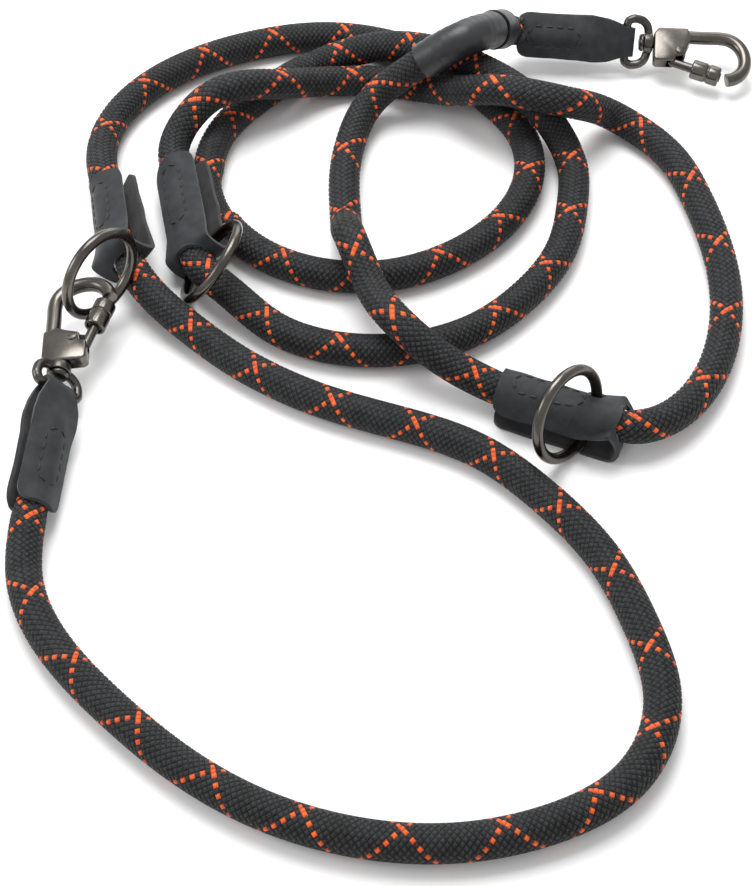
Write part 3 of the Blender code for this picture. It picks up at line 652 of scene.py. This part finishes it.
def leatherStrip(name, node, matrix, path, wide, domeShare, stitchRun, holed, lean=leather["lean"]):
    rows, columns = leather["rows"], leather["columns"]
    where, line = sampled(path, rows + 1)
    total = where[-1]
    bpy.ops.object.select_all(action="DESELECT")
    bpy.ops.mesh.primitive_grid_add(x_subdivisions=rows, y_subdivisions=columns, size=2.0, location=(0, 0, 0))
    obj = bpy.context.active_object
    obj.name = name
    mesh = obj.data
    mesh.name = name
    flat = np.array([tuple(v.co) for v in mesh.vertices])
    s = (flat[:, 0] + 1.0) / 2.0 * total
    t = flat[:, 1]
    half = wide(np.interp(s, where, line[:, 0]), np.interp(s, where, line[:, 1]))
    ends = np.minimum(s, total - s)
    corner = leather["corner"]
    inset = corner - np.sqrt(np.maximum(corner**2 - np.maximum(corner - ends, 0.0) ** 2, 0.0))
    half = np.maximum(half - inset * leather["rounding"], 1.0)
    x = np.interp(s, where, line[:, 0])
    z = np.interp(s, where, line[:, 1])
    slopeX = np.gradient(line[:, 0])
    slopeZ = np.gradient(line[:, 1])
    size = np.hypot(slopeX, slopeZ)
    normalX = np.interp(s, where, -slopeZ / size)
    normalZ = np.interp(s, where, slopeX / size)
    share = domeShare(x, z)
    slope = math.radians(lean) * share
    bend = leather["bend"]
    arc = np.abs(t) * half
    curved = np.minimum(arc, bend * slope)
    beyond = arc - curved
    safe = np.maximum(slope, 1e-4)
    y = np.sign(t) * (bend * np.sin(curved / bend) + beyond * np.cos(safe))
    pull = bend * (1.0 - np.cos(curved / bend)) + beyond * np.sin(slope)
    x = x - normalX * pull
    z = z - normalZ * pull
    # the seam draws the hide down a little
    low, high, rowHalf = stitchRun
    alongRun = np.clip(x, low + rowHalf, high - rowHalf)
    seam = np.abs(np.hypot(x - alongRun, y) - rowHalf)
    draw = leather["crease"] * np.exp(-((seam / leather["creaseWidth"]) ** 2)) * (np.abs(normalZ) > 0.7)
    ripple = noiseAt(x * 0.11, y * 0.16, z * 0.16 + 7.0)
    fine = noiseAt(x * 0.45, y * 0.3, z * 0.4 + 3.0)
    swell = leather["swell"] * ripple + leather["fineSwell"] * fine - draw
    x = x + normalX * swell
    z = z + normalZ * swell
    y = y + leather["sideSwell"] * np.abs(t) * ripple
    local = np.stack([x, y, z], axis=1) * mm
    turn = np.array(matrix.to_3x3())
    verts = local @ turn.T + np.array(matrix.translation)
    wall = leather["thick"] * mm / 2.0 + leather["gap"] * mm
    origin = np.array(matrix.translation)
    nearRope = np.linalg.norm(ropeLine - origin, axis=1) < 75 * mm
    ropeHere = ropeLine[nearRope][::3]
    ropeNeed = (rope["diameter"] / 2.0 * (1.0 - (1.0 - rope["pinch"]) * squeeze[nearRope][::3])) * mm + wall
    lines = [ropeHere]
    needs = [ropeNeed]
    loops = []
    angles = np.linspace(0, 2 * math.pi, 240, endpoint=False)
    for tag in ringPlaces:
        frameHere = np.array(ringFrame(tag))
        loop = np.stack([np.cos(angles), np.sin(angles), 0 * angles], axis=1) * ringSize["major"] * mm
        loop = loop @ frameHere[:3, :3].T + frameHere[:3, 3]
        if np.linalg.norm(loop - origin, axis=1).min() < 40 * mm:
            loops.append(loop)
            lines.append(loop)
            needs.append(ringSize["wire"] * mm + wall)
    if not holed:
        barRun = np.linspace(-leather["barHalf"], leather["barHalf"], 60)
        lines.append(barRun[:, None] * mm * turn[:, 1][None, :] + origin)
        needs.append(leather["barWire"] * mm + wall)
    # the grid's edges, for easing each point towards its neighbours
    edges = np.array([tuple(e.vertices) for e in mesh.edges])
    degree = np.bincount(edges.ravel(), minlength=len(verts))[:, None]
    dropped = np.zeros(len(mesh.polygons), bool)
    if holed:
        # the rope passes out through the fold, so the faces across its way there are left out
        centre = np.array([verts[list(p.vertices)].mean(axis=0) for p in mesh.polygons])
        localX = ((centre - origin) @ turn)[:, 0]
        ropeGaps = np.linalg.norm(centre[:, None, :] - ropeHere[None, :, :], axis=2)
        headingHere = heading[nearRope][::3][ropeGaps.argmin(axis=1)]
        quads = np.array([tuple(p.vertices) for p in mesh.polygons])
        facing = np.cross(verts[quads[:, 2]] - verts[quads[:, 0]], verts[quads[:, 3]] - verts[quads[:, 1]])
        facing /= np.maximum(np.linalg.norm(facing, axis=1), 1e-12)[:, None]
        across = np.abs((facing * headingHere).sum(axis=1)) > 0.5
        close = ropeGaps.min(axis=1) < leather["holeReach"] * mm
        dropped = close & (localX > leather["holeFrom"] * mm) & across
    for step in range(leather["easeRounds"] + leather["pushRounds"]):
        around = np.zeros_like(verts)
        np.add.at(around, edges[:, 0], verts[edges[:, 1]])
        np.add.at(around, edges[:, 1], verts[edges[:, 0]])
        inner = (degree[:, 0] == 4) & (step < leather["easeRounds"])
        verts[inner] += leather["easing"] * (around[inner] / degree[inner] - verts[inner])
        verts = pushOff(verts, lines, needs)
        verts[:, 2] = np.maximum(verts[:, 2], wall + 0.02 * mm)
    # the hide is squeezed thinner where a ring or the rope leaves it less room
    room = np.full(len(verts), leather["thick"] * mm / 2.0)
    for line, need in zip(lines, needs):
        apart = np.linalg.norm(verts[:, None, :] - line[None, :, :], axis=2)
        near = apart.argmin(axis=1)
        wanted = need[near] if hasattr(need, "__len__") else need
        room = np.minimum(room, apart[np.arange(len(verts)), near] - (wanted - wall) - 0.03 * mm)
    room = np.clip(room / (leather["thick"] * mm / 2.0), leather["thinnest"], 1.0)
    # and it is cut away where a ring bears right through it
    centre = np.array([verts[list(p.vertices)].mean(axis=0) for p in mesh.polygons])
    for loop in loops:
        ringGaps = np.linalg.norm(centre[:, None, :] - loop[None, :, :], axis=2).min(axis=1)
        dropped |= ringGaps < (ringSize["wire"] + leather["ringRoom"]) * mm
    weights = obj.vertex_groups.new(name="hide")
    for i, share in enumerate(room):
        weights.add([i], float(share), "REPLACE")
    for vert, place in zip(mesh.vertices, verts):
        vert.co = place
    if dropped.any():
        bm = bmesh.new()
        bm.from_mesh(mesh)
        bm.faces.ensure_lookup_table()
        bmesh.ops.delete(bm, geom=[bm.faces[i] for i in np.nonzero(dropped)[0]], context="FACES")
        bm.to_mesh(mesh)
        bm.free()
    for mat in (leatherFace, leatherRaw):
        mesh.materials.append(mat)
    hide = obj.modifiers.new("hide", "SOLIDIFY")
    hide.thickness = leather["thick"] * mm
    hide.offset = 0.0
    hide.use_even_offset = False
    hide.material_offset = 1
    hide.material_offset_rim = 1
    hide.vertex_group = "hide"
    addBevel(obj, leather["edge"], 55)
    applyModifiers(obj)
    mesh.polygons.foreach_set("use_smooth", [True] * len(mesh.polygons))
    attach(obj, "rope")
    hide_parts(node)
    return obj


def endDome(x, z):
    return np.interp(x, [-48, -20, -13, -7, -2], [1.0, 1.0, 0.6, 0.2, 0.0])


def endWidth(x, z):
    return np.interp(x, [-48, -30, -20, -13, -7, 0, 3], [9.6, 9.6, 9.6, 9.4, 8.4, 5.8, 5.6])


# each ring's wrap: half its width on top and below, and its height over and under the rope's own line
wrapShapes = {
    "1": {
        "length": 44, "half": 10.4, "low": 10.4, "above": 9.6, "below": 6.3, "flat": False,
        "lean": 34.0, "under": 0.5,
    },
    "2": {
        "length": 50, "half": 10.4, "low": 10.4, "above": 6.3, "below": 7.5, "flat": False,
        "lean": 30.0, "under": 0.3,
    },
    "3": {
        "length": 46, "half": 13.4, "low": 9.4, "above": 6.3, "below": 9.6, "flat": True,
        "lean": 56.0, "under": 0.0,
    },
}
# where each seam starts and ends along its strip, and half the gap between its two rows
seamRuns = {tag: (5 - shape["length"], -16, 4.0) for tag, shape in wrapShapes.items()}
for tag in endLengths:
    seamRuns["end" + tag] = (-40, -19, 4.0)
wraps = {}
for tag, shape in wrapShapes.items():
    def domeShare(x, z, under=shape["under"]):
        turned = np.clip((z + 4.0) / 8.0, 0.0, 1.0)
        return (turned + (1.0 - turned) * under) * np.clip((4.0 - x) / 20.0, 0.3, 1.0)

    def wrapWidth(x, z, top=shape["half"], low=shape["low"]):
        return low + (top - low) * np.clip((z + 8.0) / 10.0, 0.0, 1.0) * np.clip(-x / 14.0, 0.0, 1.0)

    path = ringWrapPath(shape["length"], shape["above"], shape["below"], shape["flat"])
    wraps[tag] = leatherStrip(
        "leatherWrap" + tag, "ring_wrap_" + tag, wrapFrames[tag], path, wrapWidth, domeShare,
        seamRuns[tag], True, shape["lean"],
    )
for tag, length in endLengths.items():
    wraps["end" + tag] = leatherStrip(
        "leatherEnd" + tag, "end_wrap_" + tag, endFrames[tag], endWrapPath(length), endWidth, endDome,
        seamRuns["end" + tag], False,
    )
print("leather folded")

# stitches: one short dash of thread, copied round each seam
stitch = {"length": 2.9, "radius": 0.42, "step": 4.1, "sink": 0.02, "blunt": 0.75, "bow": 0.35, "flat": 0.8}


def makeStitchShape():
    bpy.ops.object.select_all(action="DESELECT")
    bpy.ops.mesh.primitive_uv_sphere_add(
        segments=8, ring_count=7, radius=1.0, location=(0, 0, 0), rotation=(0, math.pi / 2, 0)
    )
    obj = bpy.context.active_object
    bpy.ops.object.transform_apply(location=False, rotation=True, scale=False)
    points = np.array([tuple(v.co) for v in obj.data.vertices])
    faces = [tuple(p.vertices) for p in obj.data.polygons]
    mesh = obj.data
    bpy.data.objects.remove(obj, do_unlink=True)
    bpy.data.meshes.remove(mesh)
    radius = stitch["radius"]
    long = np.sign(points[:, 0]) * np.abs(points[:, 0]) ** stitch["blunt"]
    bowed = stitch["bow"] * (1.0 - long**2)
    height = points[:, 2] * radius * stitch["flat"] + bowed * 0.5
    shape = np.stack([long * stitch["length"] / 2, points[:, 1] * radius, height], axis=1)
    return shape * mm, faces


stitchPoints, stitchFaces = makeStitchShape()


def sewSeam(name, node, wrapName, matrix):
    low, high, half = seamRuns[wrapName]
    tree = BVHTree.FromObject(wraps[wrapName], bpy.context.evaluated_depsgraph_get())
    down = matrix.to_3x3() @ Vector((0, 0, -1))
    straight = (high - low) - 2 * half
    total = 2 * straight + 2 * math.pi * half
    count = int(round(total / stitch["step"]))
    verts, faces = [], []

    def seamPoint(run):
        run = run % total
        if run < straight:
            return low + half + run, -half
        run -= straight
        if run < math.pi * half:
            angle = -math.pi / 2 + run / half
            return high - half + half * math.cos(angle), half * math.sin(angle)
        run -= math.pi * half
        if run < straight:
            return high - half - run, half
        angle = math.pi / 2 + (run - straight) / half
        return low + half + half * math.cos(angle), half * math.sin(angle)

    for i in range(count):
        x, y = seamPoint(i * total / count)
        ahead = seamPoint(i * total / count + 0.5)
        start = matrix @ (Vector((x, y, 16.0)) * mm)
        hit, normal, _, _ = tree.ray_cast(start, down, 0.03)
        if hit is None:
            continue
        if normal.dot(down) > 0:
            normal = -normal
        along = matrix.to_3x3() @ Vector((ahead[0] - x, ahead[1] - y, 0))
        along = (along - normal * along.dot(normal)).normalized()
        across = normal.cross(along)
        base = np.array(hit + normal * stitch["sink"] * mm)
        turn = np.array([along, across, normal])
        offset = len(verts)
        verts.extend(map(tuple, stitchPoints @ turn + base))
        faces.extend(tuple(k + offset for k in face) for face in stitchFaces)
    mesh = bpy.data.meshes.new(name)
    mesh.from_pydata(verts, [], faces)
    seam = newObject(name, mesh, [threadBlack], "rope")
    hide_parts(node)


for tag in wrapShapes:
    sewSeam("seamWrap" + tag, "wrap_thread_" + tag, tag, wrapFrames[tag])
for tag in endLengths:
    sewSeam("seamEnd" + tag, "end_thread_" + tag, "end" + tag, endFrames[tag])
print("seams sewn")

# rings: bent wire closed by a faint weld
for tag in ringPlaces:
    bpy.ops.object.select_all(action="DESELECT")
    bpy.ops.mesh.primitive_torus_add(
        major_segments=128, minor_segments=24,
        major_radius=ringSize["major"] * mm, minor_radius=ringSize["wire"] * mm,
    )
    obj = bpy.context.active_object
    obj.name = "ring" + tag
    obj.data.name = obj.name
    for vert in obj.data.vertices:
        angle = math.atan2(vert.co.y, vert.co.x) - ringSize["weldAt"]
        angle = (angle + math.pi) % (2 * math.pi) - math.pi
        weld = math.exp(-((angle / ringSize["weldWidth"]) ** 2))
        weld = weld - ringSize["groove"] * math.exp(-((angle / ringSize["grooveWidth"]) ** 2))
        centre = Vector((vert.co.x, vert.co.y, 0)).normalized() * ringSize["major"] * mm
        vert.co = centre + (vert.co - centre) * (1.0 + ringSize["weldRise"] * weld)
    obj.data.transform(ringFrame(tag))
    obj.data.materials.append(gunmetal)
    obj.data.polygons.foreach_set("use_smooth", [True] * len(obj.data.polygons))
    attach(obj, "ring_" + tag)
    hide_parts("o_ring_" + tag)
print("rings made")


def finishMetal(node, body, width, mat):
    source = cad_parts[node]
    mesh = source.data.copy()
    mesh.materials.clear()
    obj = bpy.data.objects.new("fine_" + node, mesh)
    bpy.context.scene.collection.objects.link(obj)
    bm = bmesh.new()
    bm.from_mesh(mesh)
    bmesh.ops.remove_doubles(bm, verts=bm.verts, dist=0.00001)
    bmesh.ops.dissolve_limit(bm, angle_limit=math.radians(1.0), verts=bm.verts, edges=bm.edges)
    bm.to_mesh(mesh)
    bm.free()
    mesh.materials.append(mat)
    addBevel(obj, width, 35)
    applyModifiers(obj)
    pickOnly(obj)
    bpy.ops.object.shade_smooth_by_angle(angle=math.radians(42))
    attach(obj, body)
    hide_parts(node)
    return obj


def smoothLoop(points, per, closed):
    pts = [Vector((*p, 0.0)) if len(p) == 2 else Vector(p) for p in points]
    count = len(pts)
    out = []
    for i in range(count if closed else count - 1):
        near = [(i + k) % count if closed else min(max(i + k, 0), count - 1) for k in (-1, 0, 1, 2)]
        a, b, c, d = (pts[k] for k in near)
        bend = 2 * a - 5 * b + 4 * c - d
        twist = 3 * b - a - 3 * c + d
        for j in range(per):
            t = j / per
            out.append(0.5 * (2 * b + (c - a) * t + bend * t**2 + twist * t**3))
    return out if closed else out + [pts[-1]]


def wire(name, points, radius, closed):
    curve = bpy.data.curves.new(name, "CURVE")
    curve.dimensions = "3D"
    curve.bevel_depth = radius * mm
    curve.bevel_resolution = 6
    curve.use_fill_caps = not closed
    spline = curve.splines.new("POLY")
    spline.points.add(len(points) - 1)
    for point, place in zip(spline.points, points):
        point.co = (*(place * mm), 1.0)
    spline.use_cyclic_u = closed
    obj = bpy.data.objects.new(name, curve)
    bpy.context.scene.collection.objects.link(obj)
    pickOnly(obj)
    bpy.ops.object.convert(target="MESH")
    obj = bpy.context.active_object
    cleanMesh(obj.data, 0.000005)
    return obj


def block(name, low, high):
    bpy.ops.object.select_all(action="DESELECT")
    middleHere = [(a + b) / 2 * mm for a, b in zip(low, high)]
    size = [(b - a) * mm for a, b in zip(low, high)]
    bpy.ops.mesh.primitive_cube_add(size=1.0, location=middleHere, scale=size)
    obj = bpy.context.active_object
    obj.name = name
    bpy.ops.object.transform_apply(location=True, rotation=False, scale=True)
    return obj


def drum(name, start, end, radius, sides=40):
    a, b = Vector(start) * mm, Vector(end) * mm
    turn = (b - a).to_track_quat("Z", "Y").to_euler()
    bpy.ops.object.select_all(action="DESELECT")
    bpy.ops.mesh.primitive_cylinder_add(
        vertices=sides, radius=radius * mm, depth=(b - a).length, location=(a + b) / 2, rotation=turn
    )
    obj = bpy.context.active_object
    obj.name = name
    bpy.ops.object.transform_apply(location=True, rotation=True, scale=True)
    return obj


def combine(base, other, operation):
    step = base.modifiers.new(operation, "BOOLEAN")
    step.operation = operation
    step.object = other
    step.solver = "EXACT"
    applyModifiers(base)
    bpy.data.objects.remove(other, do_unlink=True)
    return base


def settle(obj, matrix, mat, body, node, smoothAngle=38):
    obj.data.transform(matrix)
    obj.data.materials.clear()
    obj.data.materials.append(mat)
    obj.data.name = obj.name
    pickOnly(obj)
    bpy.ops.object.shade_smooth_by_angle(angle=math.radians(smoothAngle))
    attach(obj, body)
    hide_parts(node)
    return obj


hookSize = {
    "bow": [
        (13, 3.9), (18.5, 4.0), (24, 4.2), (28.3, 4.4), (32.1, 3.9), (35.4, 1.8), (37.6, -1.4), (38.6, -5.4),
        (38.2, -9.4), (36.5, -12.6), (33.9, -14.7), (31.1, -15.6),
    ],
    "housing": [
        (1.5, -8.6), (1.5, 3.4), (3.4, 6.2), (15.3, 6.6), (16.9, 1.6), (15.5, -1.4), (14.0, -6.6),
        (10.4, -7.2), (10.0, -9.4), (2.6, -9.8),
    ],
    "wire": 2.7,
    "thick": 3.0,
    "edge": 0.75,
    "slot": ((6.8, -12.0, -1.05), (18.0, -0.9, 1.05)),
    "notch": ((6.8, -12.0, -2.1), (13.0, -6.0, 2.1)),
    "pivot": (12.0, -4.4),
    "stemRadius": 2.25,
    "stemDepth": 5.4,
    "springRadius": 2.6,
    "springDepth": 2.2,
    "pinRadius": 1.4,
}


def hookBody(tag):
    outline = hookSize["housing"]
    bpy.ops.object.select_all(action="DESELECT")
    bpy.ops.mesh.primitive_circle_add(vertices=len(outline), fill_type="NGON", radius=0.01)
    obj = bpy.context.active_object
    obj.name = "hookBody" + tag
    for vert, (x, y) in zip(obj.data.vertices, outline[::-1]):
        vert.co = Vector((x, y, -hookSize["thick"])) * mm
    bpy.ops.object.mode_set(mode="EDIT")
    bpy.ops.mesh.select_all(action="SELECT")
    bpy.ops.mesh.extrude_region_move(TRANSFORM_OT_translate={"value": (0, 0, 2 * hookSize["thick"] * mm)})
    bpy.ops.mesh.select_all(action="SELECT")
    bpy.ops.mesh.normals_make_consistent(inside=False)
    bpy.ops.object.mode_set(mode="OBJECT")
    addBevel(obj, hookSize["edge"], 30, 3)
    applyModifiers(obj)
    combine(obj, wire("bow", smoothLoop(hookSize["bow"], 8, False), hookSize["wire"], False), "UNION")
    combine(obj, block("slot", *hookSize["slot"]), "DIFFERENCE")
    combine(obj, block("notch", *hookSize["notch"]), "DIFFERENCE")
    stemRoom = drum("stemRoom", (-1, 0, 0), (hookSize["stemDepth"], 0, 0), hookSize["stemRadius"])
    combine(obj, stemRoom, "DIFFERENCE")
    x, y = hookSize["pivot"]
    springRoom = drum("springRoom", (x, y, 0), (x, y, hookSize["springDepth"]), hookSize["springRadius"])
    combine(obj, springRoom, "DIFFERENCE")
    combine(obj, drum("bore", (x, y, -6), (x, y, 6), hookSize["pinRadius"]), "DIFFERENCE")
    return settle(obj, hookFrames[tag], gunmetal, "hook_" + tag, "hook_body_" + tag)


bailSize = {
    # half of the loop's outline, from the middle of its bar to the middle of its boss
    "side": [
        (-9.6, 0), (-9.6, 4.29), (-9.35, 7.8), (-7.7, 9.0), (-6.5, 9.2), (-3.6, 8.6), (-1.5, 6.6),
        (-0.7, 3.4), (-0.65, 0),
    ],
    "wire": 1.75,
    "boss": ((-2.4, 0, 0), (1.1, 0, 0), 4.2),
    "bossEdge": 0.45,
    "bore": ((-6, 0, 0), (4, 0, 0), 2.3),
}


def bailLoop(tag):
    side = bailSize["side"]
    points = side + [(x, -y) for x, y in side[-2:0:-1]]
    obj = wire("bail" + tag, smoothLoop(points, 8, True), bailSize["wire"], True)
    boss = drum("boss", *bailSize["boss"])
    addBevel(boss, bailSize["bossEdge"], 40, 3)
    applyModifiers(boss)
    combine(obj, boss, "UNION")
    combine(obj, drum("bore", *bailSize["bore"]), "DIFFERENCE")
    return settle(obj, bailFrames[tag], darkSteel, "bail_" + tag, "bail_" + tag)


for tag in "12":
    hookBody(tag)
    bailLoop(tag)
    finishMetal("swivel_stem_" + tag, "hook_" + tag, 0.2, darkSteel)
    finishMetal("gate_rivet_" + tag, "hook_" + tag, 0.15, gunmetal)
    finishMetal("gate_" + tag, "gate_" + tag, 0.15, darkSteel)
    finishMetal("lock_sleeve_" + tag, "lock_" + tag, 0.25, gunmetal)
print("metal finished")


# label sleeve and cuff, shrunk on the rope
def nearestRun(point):
    return float(ropeRun[np.linalg.norm(ropeLine - np.array(onTable(point)), axis=1).argmin()])


tube = {"rings": 60, "sides": 64, "lip": 0.15, "lipLength": 0.0012, "slack": 0.1, "edge": 0.3}


def sleeveTube(name, node, start, end, inner, wall, wrinkle):
    low, high = nearestRun(start), nearestRun(end)
    bpy.ops.object.select_all(action="DESELECT")
    bpy.ops.mesh.primitive_grid_add(x_subdivisions=tube["rings"], y_subdivisions=tube["sides"], size=2.0)
    obj = bpy.context.active_object
    obj.name = name
    mesh = obj.data
    mesh.name = name
    flat = np.array([tuple(v.co) for v in mesh.vertices])
    run = low + (flat[:, 0] + 1.0) / 2.0 * (high - low)
    angle = (flat[:, 1] + 1.0) * math.pi
    place, up, across, _ = readRope(run)
    bumps = noiseAt(run * 420.0, np.cos(angle) * 1.3, np.sin(angle) * 1.3)
    folds = noiseAt(run * 900.0, np.cos(angle) * 0.9 + 4.0, np.sin(angle) * 0.9)
    lip = sum(np.exp(-((gap / tube["lipLength"]) ** 2)) for gap in (run - low, high - run))
    middleWall = inner + wall / 2.0
    reach = middleWall * mm + wrinkle * mm * (0.6 * bumps + 0.4 * folds) + tube["lip"] * mm * lip
    reach = np.maximum(reach, (middleWall - tube["slack"]) * mm)
    verts = place + reach[:, None] * (up * np.cos(angle)[:, None] + across * np.sin(angle)[:, None])
    for vert, spot in zip(mesh.vertices, verts):
        vert.co = spot
    cleanMesh(mesh, 0.00002)
    mesh.materials.append(sleeveBlack)
    shell = obj.modifiers.new("wall", "SOLIDIFY")
    shell.thickness = wall * mm
    shell.offset = 0.0
    addBevel(obj, wall * tube["edge"], 50)
    applyModifiers(obj)
    mesh.polygons.foreach_set("use_smooth", [True] * len(mesh.polygons))
    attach(obj, "rope")
    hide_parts(node)
    return obj


sleeveTube("labelSleeve", "shrink_sleeve", (6, 142, 24), (32, 155, 28), 6.45, 0.7, 0.35)
sleeveTube("sleeveCuff", "sleeve_cuff", (33, 156, 28), (38.5, 162, 23), 6.6, 1.1, 0.15)
print("sleeve fitted")

room = {"floor": 3.0, "drop": 0.0002, "glow": 0.72}


def addStage():
    bpy.ops.object.select_all(action="DESELECT")
    bpy.ops.mesh.primitive_plane_add(size=room["floor"], location=(0.0, 0.0, -room["drop"]))
    floor = bpy.context.active_object
    floor.name = "tableTop"
    mat, tree, shader = newMaterial("paleTable", 0.0, 0.75, specular=0.2)
    shader.inputs["Base Color"].default_value = (0.93, 0.93, 0.93, 1.0)
    floor.data.materials.append(mat)
    lights = [
        ("softTop", (-0.10, 0.35, 0.85), 0.55, 8.0),
        ("softLeft", (-0.85, -0.05, 0.55), 0.4, 2.5),
        ("softBack", (0.2, 0.9, 0.45), 0.6, 2.5),
    ]
    for name, place, size, power in lights:
        data = bpy.data.lights.new(name, "AREA")
        data.shape = "SQUARE"
        data.size = size
        data.energy = power
        obj = bpy.data.objects.new(name, data)
        obj.location = place
        obj.rotation_euler = (Vector((0, 0, 0)) - Vector(place)).to_track_quat("-Z", "Y").to_euler()
        bpy.context.scene.collection.objects.link(obj)
    world = bpy.data.worlds.new("paleRoom")
    world.use_nodes = True
    background = world.node_tree.nodes["Background"]
    background.inputs["Color"].default_value = (1.0, 1.0, 1.0, 1.0)
    background.inputs["Strength"].default_value = room["glow"]
    bpy.context.scene.world = world
    bpy.context.scene.view_settings.view_transform = "Standard"


addStage()

for name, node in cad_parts.items():
    if "spring" in name:
        mat = springSteel
    elif "thread" in name:
        mat = threadBlack
    elif "wrap" in name:
        mat = leatherFace
    elif name in ("shrink_sleeve", "sleeve_cuff"):
        mat = sleeveBlack
    else:
        mat = gunmetal
    for slotHere in node.material_slots:
        slotHere.material = mat
    if not node.material_slots:
        node.data.materials.append(mat)
